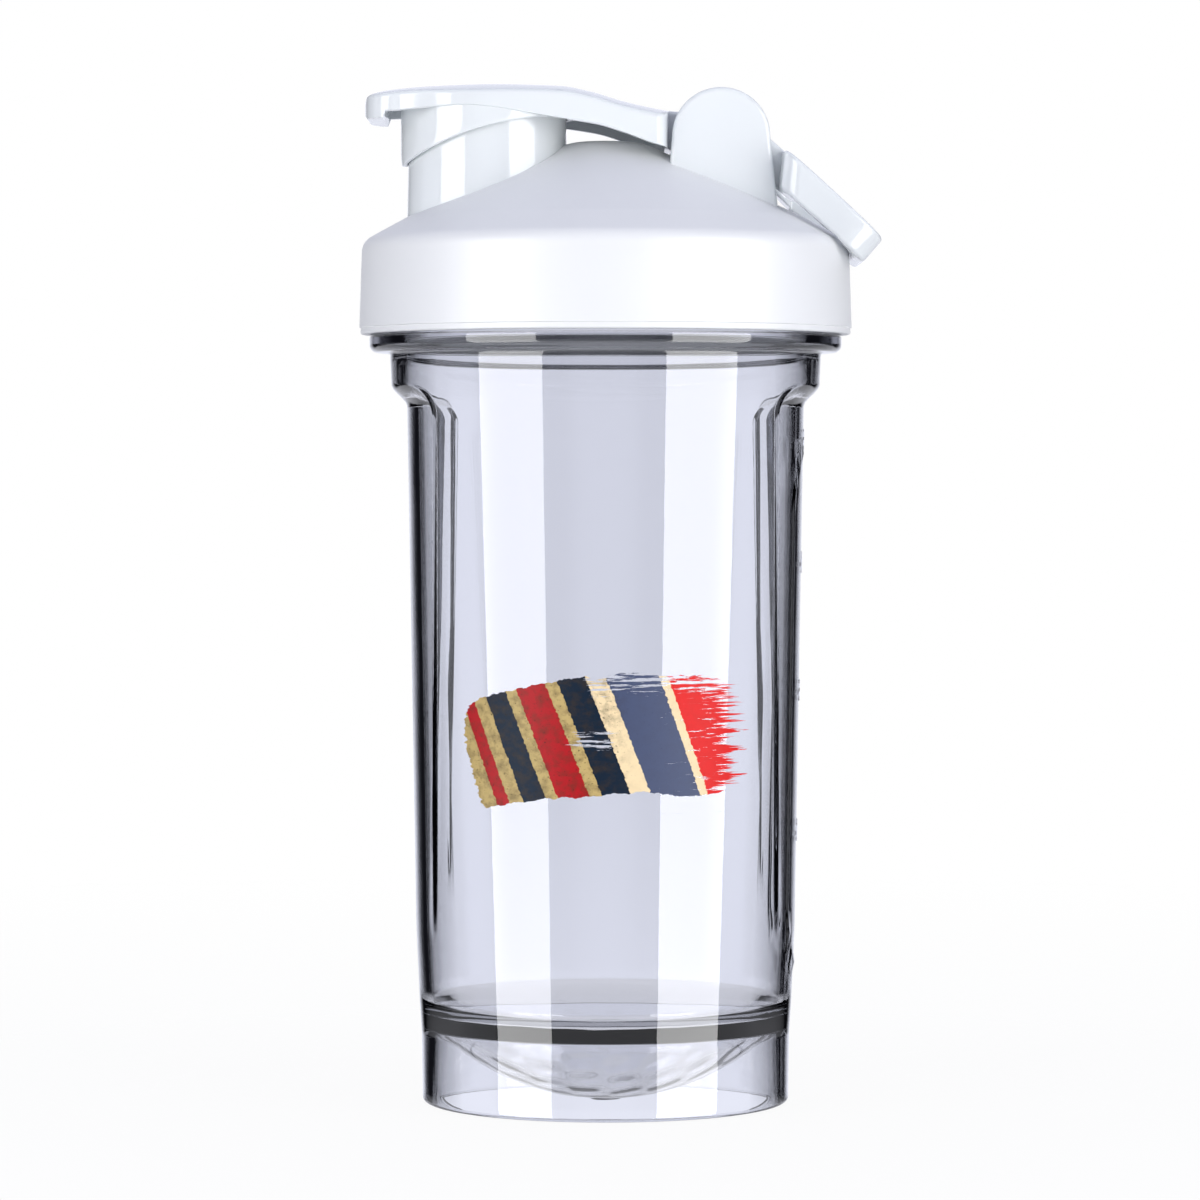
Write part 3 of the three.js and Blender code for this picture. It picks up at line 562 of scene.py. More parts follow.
def cup_body(material):
    foot_in = FOOT_R - FOOT_WALL
    wall_in = wall_radius(FLOOR_Z) - CUP_WALL
    gate = [(0.0, 0.95), (3.0, 0.98), (3.25, 1.3)]
    under = gate + bowl(BOWL_OUT_R, 3.6, foot_in - 1.3, 30)
    skirt = rounded([
        (foot_in - 1.3, BOWL_Z - math.sqrt(BOWL_OUT_R ** 2 - (foot_in - 1.3) ** 2)),
        (foot_in - 0.3, 15.6, 0.8), (foot_in, 0.0, 0.6), (FOOT_R, 0.0, 0.9),
        (FOOT_R + 0.2, 14.0, 6.0), (WALL_LOW_R, FLOOR_Z, 6.0), (wall_radius(30.0), 30.0),
    ], 6, step=2.0)
    wall = [(wall_radius(z), z) for z in np.concatenate(
        [np.arange(32.0, 133.0, 2.5), np.arange(133.0, 144.1, 0.4)])]
    collar = rounded([
        (wall_radius(144.4), 144.4), (wall_radius(FLANGE_LOW), FLANGE_LOW, 0.7),
        (FLANGE_R, FLANGE_LOW, 1.7), (FLANGE_R, FLANGE_HIGH, 0.4), (NECK_R, FLANGE_HIGH, 0.5),
        (NECK_R, 154.5),
    ], 6, step=1.2)
    neck = [(NECK_R, z) for z in np.arange(154.8, 166.2, 0.3)]
    rim = rounded([(NECK_R, 166.2), (NECK_R, RIM_Z, 0.7), (MOUTH_R, RIM_Z, 0.7), (MOUTH_R, 164.0)], 5)
    throat = [(MOUTH_R, z) for z in (160.0, 156.0, 152.0, 148.0)]
    inside = [(min(r - CUP_WALL, MOUTH_R), z) for r, z in wall[::-1]]
    floor = rounded([
        (wall_radius(30.0) - CUP_WALL, 30.0), (wall_in, FLOOR_Z + 0.3, 2.5),
        (wall_in - 2.0, BOWL_Z - math.sqrt(BOWL_IN_R ** 2 - (wall_in - 2.0) ** 2)),
    ], 6, step=2.0)
    basin = bowl(BOWL_IN_R, wall_in - 3.0, 0.0, 28)
    profile = np.concatenate([np.array(part, float) for part in (
        under, skirt, wall, collar, neck, rim, throat, inside, floor, basin)])
    profile[0, 0] = profile[-1, 0] = 0.0

    def radial(angle, r, z):
        sink = np.where(r > 30, recess_depth(angle, z), 0)
        outside = (r > wall_radius(z) - 0.5 * CUP_WALL) & (z > FLOOR_Z) & (z < RECESS_TOP)
        border = np.where(outside, scale_border(angle, z), 0)
        on_neck = (np.abs(r - NECK_R) < 0.01) & (z > FLANGE_HIGH + 1)
        ridge = np.where(on_neck, thread(angle, z, CUP_THREAD_DEPTH, THREAD_Z, 0.0, 1.0), 0)
        return border + ridge - sink

    def lift(angle, r, z):
        """Flow ripples from the mould on the bowl, stronger inside than underneath."""
        x, y = r * np.cos(angle), r * np.sin(angle)
        waves = sum(np.sin(x * math.cos(d) * k + y * math.sin(d) * k + p) for d, k, p in RIPPLES)
        middle = BOWL_Z - np.sqrt(np.maximum(((BOWL_OUT_R + BOWL_IN_R) / 2) ** 2 - r * r, 0))
        fade = smooth(wall_in - 1.0, wall_in - 6.0, r) * smooth(0.0, 4.0, r) * (z < FLOOR_Z + 1)
        return waves * fade * np.where(z > middle, RIPPLE_INSIDE, RIPPLE_UNDER)

    piece = Piece("cup_body")
    revolve(piece, profile, cup_angles(), radial=radial, lift=lift)
    obj = piece.build([material], sharp=75.0, weighted=False)
    finish_piece(obj, "cup", "clear_plastic", "cup")


def raised_numbers(material):
    """Generic graduations on the +X recess: a tick and a number for every 100 millilitres."""
    for number, z in MARKS:
        curve = bpy.data.curves.new(f"mark_{number}", "FONT")
        curve.body = str(number)
        curve.size = MARK_TEXT
        curve.align_x, curve.align_y = "CENTER", "CENTER"
        curve.extrude = 0.2
        curve.resolution_u = 3
        text = bpy.data.objects.new(f"mark_{number}", curve)
        mesh = bpy.data.meshes.new_from_object(text)
        bpy.data.objects.remove(text)
        flat = np.array([v.co[:] for v in mesh.vertices])
        faces = [list(p.vertices) for p in mesh.polygons]
        bpy.data.meshes.remove(mesh)
        piece = Piece(f"graduation_{number}")
        piece.add(on_recess(flat[:, 0] + 1.5, flat[:, 1] + z, flat[:, 2] * 0.4 + 0.11), faces)
        bar = rounded([(-9.5, -0.45, 0.4), (-5.0, -0.45, 0.4), (-5.0, 0.45, 0.4), (-9.5, 0.45, 0.4)],
                      4, straight=4, closed=True)
        low = on_recess(bar[:, 0], bar[:, 1] + z, 0.02)
        high = on_recess(bar[:, 0], bar[:, 1] + z, 0.19)
        piece.grid(np.stack([low, high]), close_columns=True, caps=True)
        obj = piece.build([material], sharp=40.0, weighted=False)
        finish_piece(obj, "cup", "clear_plastic")


def on_recess(across, z, lift):
    """Points on the +X grip recess: across runs towards +Y, lift stands off the surface."""
    angle = across / (RECESS_R + RECESS_TAPER * MARK_MIDDLE_Z)
    surface = wall_radius(z) - recess_depth(angle, z)
    radius = surface + lift
    return np.stack([radius * np.cos(angle), radius * np.sin(angle), z], -1)


# ------------------------------------------------------------------ lid
def cone_z(radius):
    fall = (CONE_HEAD[1] - CONE_FOOT[1]) / (CONE_FOOT[0] - CONE_HEAD[0])
    return CONE_HEAD[1] - (radius - CONE_HEAD[0]) * fall


def lid_outline():
    """The lid's outer profile from the axis at the top down to the skirt's lower lip."""
    return [
        (0.0, LID_TOP), (7.2, LID_TOP, 14.0), (CONE_FOOT[0], CONE_FOOT[1], 1.0),
        (*SHOULDER, SHOULDER_ROUND), (SKIRT_R, LID_LOW + 1.9, 0.5), (SKIRT_R, LID_LOW + 1.35, 0.08),
        (SKIRT_R - 0.28, LID_LOW + 1.2, 0.1), (SKIRT_R - 0.22, LID_LOW + 0.9, 0.1),
        (SKIRT_R - 0.2, LID_LOW, 0.9),
    ]


def lid_cover(satin, gloss):
    corners = lid_outline() + [
        (SKIRT_IN_R + 0.6, LID_LOW, 0.5), (SKIRT_IN_R, LID_LOW + 1.0, 0.5), (SKIRT_IN_R, SEAT_Z, 0.6),
        (RING_OUT, SEAT_Z, 0.4), (RING_OUT, RING_Z, 0.6), (RING_IN, RING_Z, 0.5),
        (RING_IN, CONE_FOOT[1] - LID_WALL + 1.0, 2.0), (CONE_HEAD[0] - 1.0, LID_TOP - LID_WALL, 6.0),
        (0.0, LID_TOP - LID_WALL),
    ]
    profile = rounded(corners, 8, step=1.1)

    def radial(angle, r, z):
        on_wall = (np.abs(r - SKIRT_IN_R) < 0.02) & (z < SEAT_Z - 0.6)
        between = THREAD_Z + LEAD / STARTS / 2
        return np.where(on_wall, -thread(angle, z, LID_THREAD_DEPTH, between, -0.1, 0.8), 0)

    piece = Piece("lid_cover")
    revolve(piece, profile, radial=radial)
    cover = piece.build([satin, gloss], sharp=50.0)
    cutter = Piece("bore_cutter")
    side = np.array([[0.0, 160.0], [BORE_R + 1.0, 160.0], [BORE_R + 1.0, 210.0], [0.0, 210.0]])
    revolve(cutter, side, ring_angles(64), centre=(SPOUT_X, 0.0))
    tool = cutter.build([satin], weighted=False)
    cut = cover.modifiers.new("bore", "BOOLEAN")
    cut.operation, cut.object, cut.solver = "DIFFERENCE", tool, "EXACT"
    apply_modifiers(cover)
    bpy.data.objects.remove(tool)

    details = Piece("lid_details")
    spout_tube(details)
    for low, high in ((EAR_IN, EAR_OUT), (-EAR_OUT, -EAR_IN)):
        hinge_ear(details, low, high)
    trim = details.build([satin, gloss], sharp=40.0)
    rear_hole(trim)
    return join(cover, trim, "lid_shell_fine")


def apply_modifiers(obj):
    bpy.context.view_layer.update()
    graph = bpy.context.evaluated_depsgraph_get()
    mesh = bpy.data.meshes.new_from_object(obj.evaluated_get(graph))
    obj.modifiers.clear()
    obj.data = mesh


def join(first, second, name):
    with bpy.context.temp_override(active_object=first, selected_editable_objects=[first, second]):
        bpy.ops.object.join()
    first.name = name
    first.data.name = name
    return first


def spout_tube(piece):
    """The drinking spout: a tapered tube whose foot is sunk in the lid's cone."""
    a = ring_angles(128)
    lip_z = SPOUT_Z - SPOUT_LIP
    top = rounded([(SPOUT_TOP_R + 0.05, lip_z), (SPOUT_TOP_R, SPOUT_Z, 0.8),
                   (BORE_R, SPOUT_Z, 0.7), (BORE_R, lip_z)], 6)

    def foot(radius):
        x, y = SPOUT_X + radius * np.cos(a), radius * np.sin(a)
        return cone_z(np.hypot(x, y)) - SPOUT_SUNK

    rows = []
    outer_foot = foot(SPOUT_LOW_R)
    for t in np.linspace(0, 1, 14)[:-1]:
        z = outer_foot + (lip_z - outer_foot) * t
        taper = (z - SPOUT_TAPER_Z) / (SPOUT_Z - SPOUT_TAPER_Z)
        radius = SPOUT_LOW_R + (SPOUT_TOP_R - SPOUT_LOW_R) * taper
        rows.append((radius, z))
    rows += [(np.full_like(a, r), np.full_like(a, z)) for r, z in top]
    inner_foot = foot(BORE_R)
    for t in np.linspace(0, 1, 10)[1:]:
        rows.append((np.full_like(a, BORE_R), lip_z + (inner_foot - lip_z) * t))
    points = np.array([np.stack([SPOUT_X + r * np.cos(a), r * np.sin(a), z], -1) for r, z in rows])
    piece.grid(points, close_rows=True, close_columns=True, slot=1)


def ear_outline(inset=0.0):
    """The D-shaped ear in XZ, its foot following the cone just under the surface."""
    arc = [(HINGE_X + (EAR_R - inset) * math.cos(t), HINGE_Z + (EAR_R - inset) * math.sin(t))
           for t in np.linspace(0, math.pi, 41)]
    mid = (EAR_IN + EAR_OUT) / 2
    foot = [(x, cone_z(math.hypot(x, mid)) - EAR_SUNK) for x in (EAR_LEFT + inset, EAR_RIGHT - inset)]
    left = [(HINGE_X - EAR_R + inset - 0.5 * t, HINGE_Z + (foot[0][1] - HINGE_Z) * t)
            for t in (0.33, 0.66, 1.0)]
    right = []
    for t in (1.0, 0.75, 0.5, 0.25):
        x = HINGE_X + EAR_R - inset + (EAR_RIGHT - HINGE_X - EAR_R) * t
        right.append((x, HINGE_Z + (foot[1][1] - HINGE_Z) * t))
    return np.array(right + arc + left)


def hinge_ear(piece, low, high):
    loops = []
    outward = 1 if low > 0 else -1
    soft, crisp = 0.9, 0.3
    bevels = {low: crisp if outward > 0 else soft, high: soft if outward > 0 else crisp}
    for face, sign in ((low, 1), (high, -1)):
        size = bevels[face]
        turn = [(size * (1 - math.sin(t)), size * (1 - math.cos(t)))
                for t in np.linspace(0, math.pi / 2, 6)]
        run = [(inset, face + sign * rise) for inset, rise in turn]
        loops += run if sign > 0 else run[::-1]
    points = []
    for inset, y in loops:
        outline = ear_outline(inset)
        points.append(np.stack([outline[:, 0], np.full(len(outline), y), outline[:, 1]], -1))
    piece.grid(np.array(points), close_columns=True, caps=True, slot=1)


def rear_hole(obj):
    """The pin goes in through the rear ear, so that ear has an open hole."""
    bpy.ops.mesh.primitive_cylinder_add(vertices=48, radius=HOLE_R * MM, depth=10 * MM,
                                        location=((HINGE_X + AXIS_X) * MM, REAR_EAR_Y * MM, HINGE_Z * MM),
                                        rotation=(math.pi / 2, 0, 0))
    tool = bpy.context.object
    cut = obj.modifiers.new("pin_hole", "BOOLEAN")
    cut.operation, cut.object, cut.solver = "DIFFERENCE", tool, "EXACT"
    apply_modifiers(obj)
    bpy.data.objects.remove(tool)


def lid_seal(material):
    inner, outer = RING_OUT + 0.3, NECK_R + 0.7
    profile = rounded([(inner, RIM_Z + 0.3, 0.35), (outer, RIM_Z + 0.3, 0.5), (outer, SEAT_Z - 0.3, 0.5),
                       (inner, SEAT_Z - 0.3, 0.35)], 5, closed=True)
    piece = Piece("seal_ring")
    revolve(piece, profile, closed=True)
    finish_piece(piece.build([material]), "seal", "silicone", "lid_seal")


def hinge_pin(material):
    profile = rounded([(0.0, PIN_LOW), (PIN_R, PIN_LOW, 0.3), (PIN_R, PIN_HIGH, 0.4), (0.0, PIN_HIGH)], 5)
    a = ring_angles(48)
    r = profile[:, 0][:, None]
    points = np.stack([HINGE_X + r * np.cos(a), np.repeat(profile[:, 1][:, None], len(a), 1),
                       HINGE_Z + r * np.sin(a)], -1)
    piece = Piece("pin")
    piece.grid(points, close_columns=True)
    finish_piece(piece.build([material]), "lid", "pin_plastic", "hinge_pin")


# ------------------------------------------------------------------ flip cap
cap_top = height_curve([(CAP_TIP, 199.0), (-47.2, 200.4), (-45.9, 201.1), (-42.5, 201.8), (-35, 202.5),
                        (-22, TOP_Z), (-9, 202.6), (-3, 201.5), (3, 199.7), (8, 198.5), (14, 197.5),
                        (20.3, 197.4)])
cap_low = height_curve([(CAP_TIP, 196.6), (-47.0, 195.6), (-43.9, 195.5), (-43.3, 196.95), (-40, 197.1),
                        (-28, 197.9), (-21.5, 197.4), (-14, 196.2), (-8.5, 195.3), (-1.3, 194.1),
                        (4.3, 192.3), (9.5, 190.4), (12.6, 189.7), (16, 188.2), (20.3, 186.6)])


cap_flank = height_curve([(CAP_TIP, TAB_HALF), (CAP_TIP + TAB_REACH, TAB_HALF), (-38, 14.6),
                          (-33.5, 15.75), (-28.5, 17.08), (-23.5, PLATE_R), (-18, 17.2), (-10, 16.5),
                          (BEND_X, ARM_HALF)])


def cap_half(x):
    """Half the cap's width seen from above, from the thumb tab to the neck."""
    to_tip = 1 - np.clip((x - CAP_TIP) / TAB_REACH, 0, 1)
    tab = TAB_HALF * np.sqrt(np.clip(1 - to_tip ** 2, 0, 1)) ** TAB_BLUNT
    flank = cap_flank(x)
    bend = ARM_HALF - (ARM_HALF - CAP_HUB) * (
        1 - np.sqrt(np.clip(1 - ((x - BEND_X) / (NECK_X - BEND_X)) ** 2, 0, 1)))
    body = np.where(x < BEND_X, flank, np.where(x < NECK_X, bend, CAP_HUB))
    return np.where(x < CAP_TIP + TAB_REACH, np.minimum(tab, body), body)


def cap_section(x):
    """The closed outline across the cap at x: crowned top, two skirts and the hollow between."""
    half, top, low = float(cap_half(x)), float(cap_top(x)), float(cap_low(x))
    half = max(half, 0.02)
    fall = CROWN * (half / PLATE_R) ** 2
    outer = rounded([(half, low, 0.35), (half, top - fall, 0.9), (-half, top - fall, 0.9),
                     (-half, low, 0.35)], 5, straight=SECTION_CUTS, closed=True)
    side = outer[:, 1] > top - fall - 1.0
    outer[side, 1] += CROWN * ((half / PLATE_R) ** 2 - (outer[side, 0] / PLATE_R) ** 2)
    shell = outer[:len(outer) - (SECTION_CUTS - 1)]
    hollow = smooth(CAP_TIP + 4.1, CAP_TIP + 4.8, x) * smooth(11.8, 11.0, x)
    in_half = max(half - CAP_WALL, 0.35 * half)
    ceiling = low + (top - CAP_SKIN - low) * hollow
    inner = rounded([(-in_half, low, 0.3), (-in_half, ceiling, 0.8), (in_half, ceiling, 0.8),
                     (in_half, low, 0.3)], 5, straight=SECTION_CUTS)
    return np.concatenate([shell, inner])


def flip_cap(gloss):
    piece = Piece("flip_cap_fine")
    near_tip = CAP_TIP + TAB_REACH * (1 - np.cos(np.linspace(0, math.pi / 2, 34)))
    plain = np.arange(CAP_TIP + TAB_REACH + 0.1, BEND_X - 0.3, 0.5)
    bend = BEND_X + (NECK_X - BEND_X) * np.sin(np.linspace(0, math.pi / 2, 20))
    neck = np.linspace(NECK_X + 0.05, HINGE_X - 2.6, 14)
    stations = np.concatenate([near_tip, plain, bend, neck])
    rows = []
    for x in stations:
        section = cap_section(x)
        rows.append(np.stack([np.full(len(section), x), section[:, 0], section[:, 1]], -1))
    piece.grid(np.array(rows), close_columns=True, caps=True)
    guard(piece)
    hub_ring(piece, HOLE_R, HUB_R, -CAP_HUB, CAP_HUB, 0.6)
    boss = rounded([(3.3, 197.6, 0.2), (6.0, 197.6, 0.3), (6.0, 201.0), (3.3, 201.0)], 3, closed=True)
    revolve(piece, boss, ring_angles(64), centre=(SPOUT_X, 0.0), closed=True)
    obj = piece.build([gloss], sharp=42.0)
    finish_piece(obj, "cap", "white_gloss", "flip_cap")


def guard(piece):
    """The short wall under the cap that fits round the spout, cut on a sweeping curve."""
    a = ring_angles(160)
    x = SPOUT_X + GUARD_OUT * np.cos(a)
    reach = np.sqrt(np.maximum(GUARD_CUT_R ** 2 - (x - GUARD_CUT_X) ** 2, 0))
    low = np.minimum(GUARD_CUT_Z + reach, GUARD_TOP - 0.6)
    rows = []
    section = rounded([(GUARD_IN, 1.0), (GUARD_IN, 0.0, 0.25), (GUARD_OUT, 0.0, 0.3), (GUARD_OUT, 1.0)],
                      5, straight=8)
    for r, rise in section:
        z = low + rise * (GUARD_TOP - low)
        rows.append(np.stack([SPOUT_X + r * np.cos(a), r * np.sin(a), z], -1))
    piece.grid(np.array(rows), close_rows=True, close_columns=True)


def spout_plug(material):
    low, high = 191.4, 197.3
    profile = rounded([
        (0.0, high - 1.8), (11.3, high - 1.8, 0.8), (10.9, low, 0.4), (12.6, low, 0.4),
        (13.1, low + 1.2, 0.8), (13.1, high, 0.5), (3.0, high, 0.3), (3.0, high + 1.8, 0.4),
        (0.0, high + 1.8),
    ], 6, step=1.5)
    piece = Piece("plug")
    revolve(piece, profile, ring_angles(96), centre=(SPOUT_X, 0.0))
    finish_piece(piece.build([material]), "cap", "silicone", "spout_plug")


# ------------------------------------------------------------------ carry loop
def loop_point(s, y, t):
    """A point given along the loop's length, across it, and through its thickness."""
    cos, sin = math.cos(SLOPE), math.sin(SLOPE)
    return np.stack([HINGE_X + s * cos + t * sin, y, HINGE_Z - s * sin + t * cos], -1)


def lid_clearance(points):
    """How far each point stands off the lid's shoulder and skirt, along the loop's thickness."""
    r = np.hypot(points[..., 0], points[..., 1])
    z = points[..., 2]
    skirt = r - (SKIRT_TOP_R + (SKIRT_KNEE_Z - np.minimum(z, SKIRT_KNEE_Z)) * SKIRT_LEAN)
    surface = SHOULDER_KNEE[1] + (SHOULDER_KNEE[0] - r) * SHOULDER_SLOPE
    shoulder = (z - surface) * math.cos(math.atan(SHOULDER_SLOPE))
    return np.maximum(skirt, shoulder)


def carry_loop(gloss):
    half_path = [
        (3.0, LOOP_HUB_Y), (FLARE_S + 1.3, LOOP_HUB_Y, 1.6), (FLARE_S + 2.0, LOOP_HALF - LOOP_ARM / 2, 2.4),
        (LOOP_LEN - LOOP_BAR / 2, LOOP_HALF - LOOP_ARM / 2, 4.2), (LOOP_LEN - LOOP_BAR / 2, 0.0),
    ]
    half = rounded(half_path, 10, step=0.8)
    path = np.concatenate([half * (1, -1), half[::-1][1:]])
    tangent = np.gradient(path, axis=0)
    tangent /= np.linalg.norm(tangent, axis=1)[:, None]
    normal = np.stack([-tangent[:, 1], tangent[:, 0]], -1)
    rows = []
    for (s, y), n in zip(path, normal):
        widen = float(smooth(FLARE_S - 1.5, FLARE_S + 1.5, s))
        leaning = smooth(HUB_R, FLARE_S - 2, s) * smooth(LOOP_LEN - LOOP_BAR, FLARE_S + 5, s)
        lean = FLARE_LEAN * float(leaning)
        bar = float(smooth(LOOP_LEN - 6.5, LOOP_LEN - LOOP_BAR / 2, s))
        width = (LOOP_HUB_OUT - LOOP_HUB_IN) * (1 - widen) + LOOP_ARM * widen
        width += (LOOP_BAR - LOOP_ARM) * bar
        top = 6.2 - 0.6 * float(smooth(20, LOOP_LEN, s))
        low = -0.4 - 0.3 * float(smooth(24, LOOP_LEN - 1, s))
        section = rounded([(-width / 2, low, 0.8), (width / 2, low, 0.8), (width / 2, top, 0.9),
                           (-width / 2, top, 0.9)], 5, straight=6, closed=True)
        across, t = section[:, 0], section[:, 1]
        points = loop_point(s + n[0] * across - lean * t, y + n[1] * across, t)
        for _ in range(LIFT_TRIES):
            low_spots = lid_clearance(points) < LOOP_GAP
            if not low_spots.any():
                break
            t = np.where(low_spots, t + LIFT_STEP, t)
            points = loop_point(s + n[0] * across - lean * t, y + n[1] * across, t)
        rows.append(points)
    piece = Piece("carry_loop_fine")
    piece.grid(np.array(rows), close_columns=True, caps=True)
    for side in (-1, 1):
        low, high = sorted((side * LOOP_HUB_IN, side * LOOP_HUB_OUT))
        hub_ring(piece, HOLE_R, HUB_R, low, high, 0.5)
    obj = piece.build([gloss], sharp=42.0)
    finish_piece(obj, "loop", "white_gloss", "carry_loop")


# ------------------------------------------------------------------ stage, camera and light
CAMERA_DISTANCE = 1.0
EYE_Z = 0.127
AIM_Z = 0.1002
AIM_X = AXIS_X * MM - 0.0011
PANEL_EDGE, PANEL_CORE = math.radians(24), math.radians(9)
TABLE_R, TABLE_DROP, TABLE_GLOW, TABLE_FADE = 0.6, 0.0002, 0.93, (0.10, 0.55)


def make_camera():
    data = bpy.data.cameras.new("camera")
    data.lens, data.sensor_width = 150.0, 36.0
    data.clip_start, data.clip_end = 0.05, 50.0
    camera = bpy.data.objects.new("camera", data)
    bpy.context.scene.collection.objects.link(camera)
    camera.location = (AIM_X, -CAMERA_DISTANCE, EYE_Z)
    away = Vector((AIM_X, 0.0, AIM_Z)) - camera.location
    camera.rotation_euler = away.to_track_quat("-Z", "Y").to_euler()
    bpy.context.scene.camera = camera


def softbox(name, degrees, distance, width, bottom, top, radiance):
    """A lamp standing round the bottle. Degrees are from straight behind the camera."""
    height, middle_z = top - bottom, (top + bottom) / 2
    data = bpy.data.lights.new(name, "AREA")
    data.shape, data.size, data.size_y = "RECTANGLE", width, height
    data.energy = radiance * math.pi * width * height
    lamp = bpy.data.objects.new(name, data)
    bpy.context.scene.collection.objects.link(lamp)
    turn = math.radians(degrees)
    lamp.location = (AXIS_X * MM + distance * math.sin(turn), -distance * math.cos(turn), middle_z)
    aim = Vector((AXIS_X * MM, 0.0, middle_z)) - lamp.location
    lamp.rotation_euler = aim.to_track_quat("-Z", "Y").to_euler()
    lamp.visible_camera = False
    return lamp


def studio_world():
    """White behind everything the camera sees; lit panels and dark gaps for what the plastic sees."""
    world = bpy.data.worlds.new("studio")
    bpy.context.scene.world = world
    world.use_nodes = True
    tree = world.node_tree
    tree.nodes.clear()
    direction = node(tree, "ShaderNodeTexCoord").outputs["Generated"]
    split = node(tree, "ShaderNodeSeparateXYZ", {0: direction})
    x, y, z = split.outputs
    flat = math_node(tree, "SQRT", math_node(tree, "ADD", math_node(tree, "MULTIPLY", x, x),
                                             math_node(tree, "MULTIPLY", y, y)))
    widest = math_node(tree, "MAXIMUM", math_node(tree, "ABSOLUTE", x), math_node(tree, "ABSOLUTE", y))
    along = math_node(tree, "DIVIDE", widest, math_node(tree, "MAXIMUM", flat, 0.0001))
    panel = node(tree, "ShaderNodeMapRange", {0: along, 1: math.cos(PANEL_EDGE),
                                              2: math.cos(PANEL_CORE), 3: 0.0, 4: 1.0},
                 interpolation_type="SMOOTHSTEP").outputs[0]
    forward = math_node(tree, "DIVIDE", y, math_node(tree, "MAXIMUM", flat, 0.0001))
    lit = math_node(tree, "MULTIPLY", panel, remap(tree, forward, -0.8, -0.5, 0.25, 1.0))
    open_side = mix_colour(tree, lit, (0.008, 0.008, 0.011), (0.90, 0.92, 1.03))
    below = remap(tree, z, -0.19, -0.14, 1.0, 0.0)
    above = remap(tree, z, 0.45, 0.75, 0.0, 1.0)
    with_floor = mix_colour(tree, below, open_side, (0.78, 0.79, 0.86))
    sharp_view = mix_colour(tree, above, with_floor, (0.60, 0.61, 0.70))
    path = node(tree, "ShaderNodeLightPath")
    soft_floor = mix_colour(tree, below, (0.10, 0.10, 0.12), (0.42, 0.43, 0.49))
    soft_view = mix_colour(tree, remap(tree, z, 0.2, 0.9, 0.0, 1.0), soft_floor, (0.66, 0.69, 0.88))
    seen_by_object = mix_colour(tree, path.outputs["Is Diffuse Ray"], sharp_view, soft_view)
    camera_ray = path.outputs["Is Camera Ray"]
    shown = mix_colour(tree, camera_ray, seen_by_object, (1.0, 1.0, 1.0))
    background = node(tree, "ShaderNodeBackground", {"Color": shown, "Strength": 1.0})
    output = node(tree, "ShaderNodeOutputWorld")
    tree.links.new(background.outputs[0], output.inputs["Surface"])


def pale_floor():
    """A white table top that fades into the white behind it; only the camera sees it."""
    material = bpy.data.materials.new("pale_floor")
    material.use_nodes = True
    tree = material.node_tree
    tree.nodes.clear()
    where = node(tree, "ShaderNodeSeparateXYZ", {0: object_coordinates(tree)})
    x, y, _ = where.outputs
    distance = math_node(tree, "SQRT", math_node(tree, "ADD", math_node(tree, "MULTIPLY", x, x),
                                                 math_node(tree, "MULTIPLY", y, y)))
    matt = node(tree, "ShaderNodeBsdfDiffuse", {"Color": (0.9, 0.9, 0.91, 1.0)})
    glow = node(tree, "ShaderNodeEmission", {"Color": (1.0, 1.0, 1.0, 1.0), "Strength": 1.0})
    surface = node(tree, "ShaderNodeMixShader", {0: TABLE_GLOW, 1: matt.outputs[0], 2: glow.outputs[0]})
    clear = node(tree, "ShaderNodeBsdfTransparent")
    near = remap(tree, distance, *TABLE_FADE, 1.0, 0.0)
    camera_ray = node(tree, "ShaderNodeLightPath").outputs["Is Camera Ray"]
    shown = math_node(tree, "MULTIPLY", near, camera_ray)
    blend = node(tree, "ShaderNodeMixShader", {0: shown, 1: clear.outputs[0], 2: surface.outputs[0]})
    output = node(tree, "ShaderNodeOutputMaterial")
    tree.links.new(blend.outputs[0], output.inputs["Surface"])
    bpy.ops.mesh.primitive_circle_add(vertices=96, radius=TABLE_R, fill_type="NGON",
                                      location=(AXIS_X * MM, 0.0, -TABLE_DROP))
    floor = bpy.context.object
    floor.name = "floor"
    floor.data.materials.append(material)


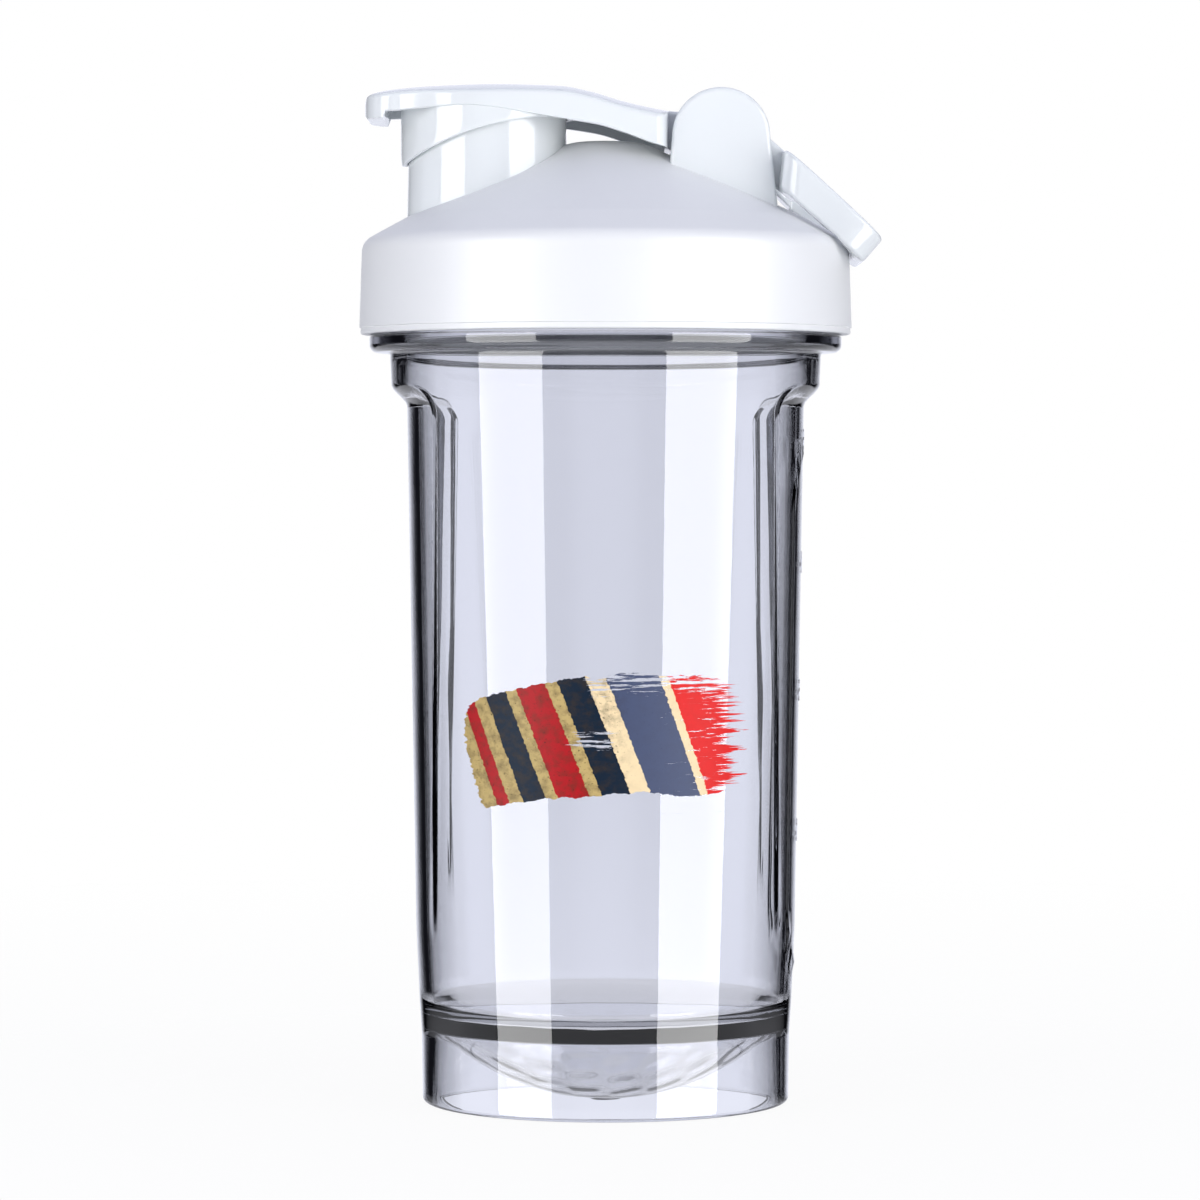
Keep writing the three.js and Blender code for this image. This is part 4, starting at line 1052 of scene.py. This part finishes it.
# The side lamps are doubled: one of each pair only lights the plastic, the other only shows in it.
# They stand a little apart, because of two lamps in one place a ray meets only the first.
SIDE_DISTANCE, SHINE_DISTANCE = 1.1, 1.07
SIDE_LAMPS = (("left", -51.5, 0.71, 3.0), ("right", 52.3, 0.81, 3.3))
LIGHT_SPAN, SHINE = (-0.53, 0.77), 2.0
FILL_DISTANCE, FILL_WIDTH, FILL_SPAN = 1.3, 1.0, (-0.2, 0.8)
FILL_LAMPS = (("front_fill", 0.0, 0.62), ("back_fill", 180.0, 0.8))


def make_stage():
    bpy.context.scene.view_settings.view_transform = "Standard"
    studio_world()
    pale_floor()
    for side, degrees, width, light in SIDE_LAMPS:
        wide = softbox(f"softbox_{side}", degrees, SIDE_DISTANCE, width, *LIGHT_SPAN, light)
        mirrored = softbox(f"reflection_{side}", degrees, SHINE_DISTANCE, width, *LIGHT_SPAN, SHINE * light)
        mirrored.visible_diffuse = mirrored.visible_transmission = False
        wide.visible_glossy = wide.visible_transmission = False
    for name, degrees, light in FILL_LAMPS:
        fill = softbox(name, degrees, FILL_DISTANCE, FILL_WIDTH, *FILL_SPAN, light)
        fill.visible_glossy = fill.visible_transmission = False


# ------------------------------------------------------------------ the bottle
make_camera()
make_stage()

SATIN = moulded_plastic("white_satin_plastic", (0.765, 0.775, 0.782), (0.748, 0.758, 0.768),
                        0.42, 5200.0, 0.25)
GLOSS = moulded_plastic("white_gloss_plastic", (0.755, 0.785, 0.795), (0.74, 0.77, 0.785),
                        0.08, 900.0, 0.04)
SILICONE = moulded_plastic("silicone", (0.70, 0.71, 0.73), (0.67, 0.68, 0.71), 0.5, 3000.0, 0.2, 1.41)
PIN = moulded_plastic("pin_plastic", (0.70, 0.71, 0.75), (0.68, 0.69, 0.73), 0.28, 2500.0, 0.1)
CLEAR = clear_plastic()

cup_body(CLEAR)
raised_numbers(CLEAR)
printed_stroke(print_ink())
lid = lid_cover(SATIN, GLOSS)
finish_piece(lid, "lid", "white_satin", "lid_shell")
lid_seal(SILICONE)
hinge_pin(PIN)
flip_cap(GLOSS)
spout_plug(SILICONE)
carry_loop(GLOSS)
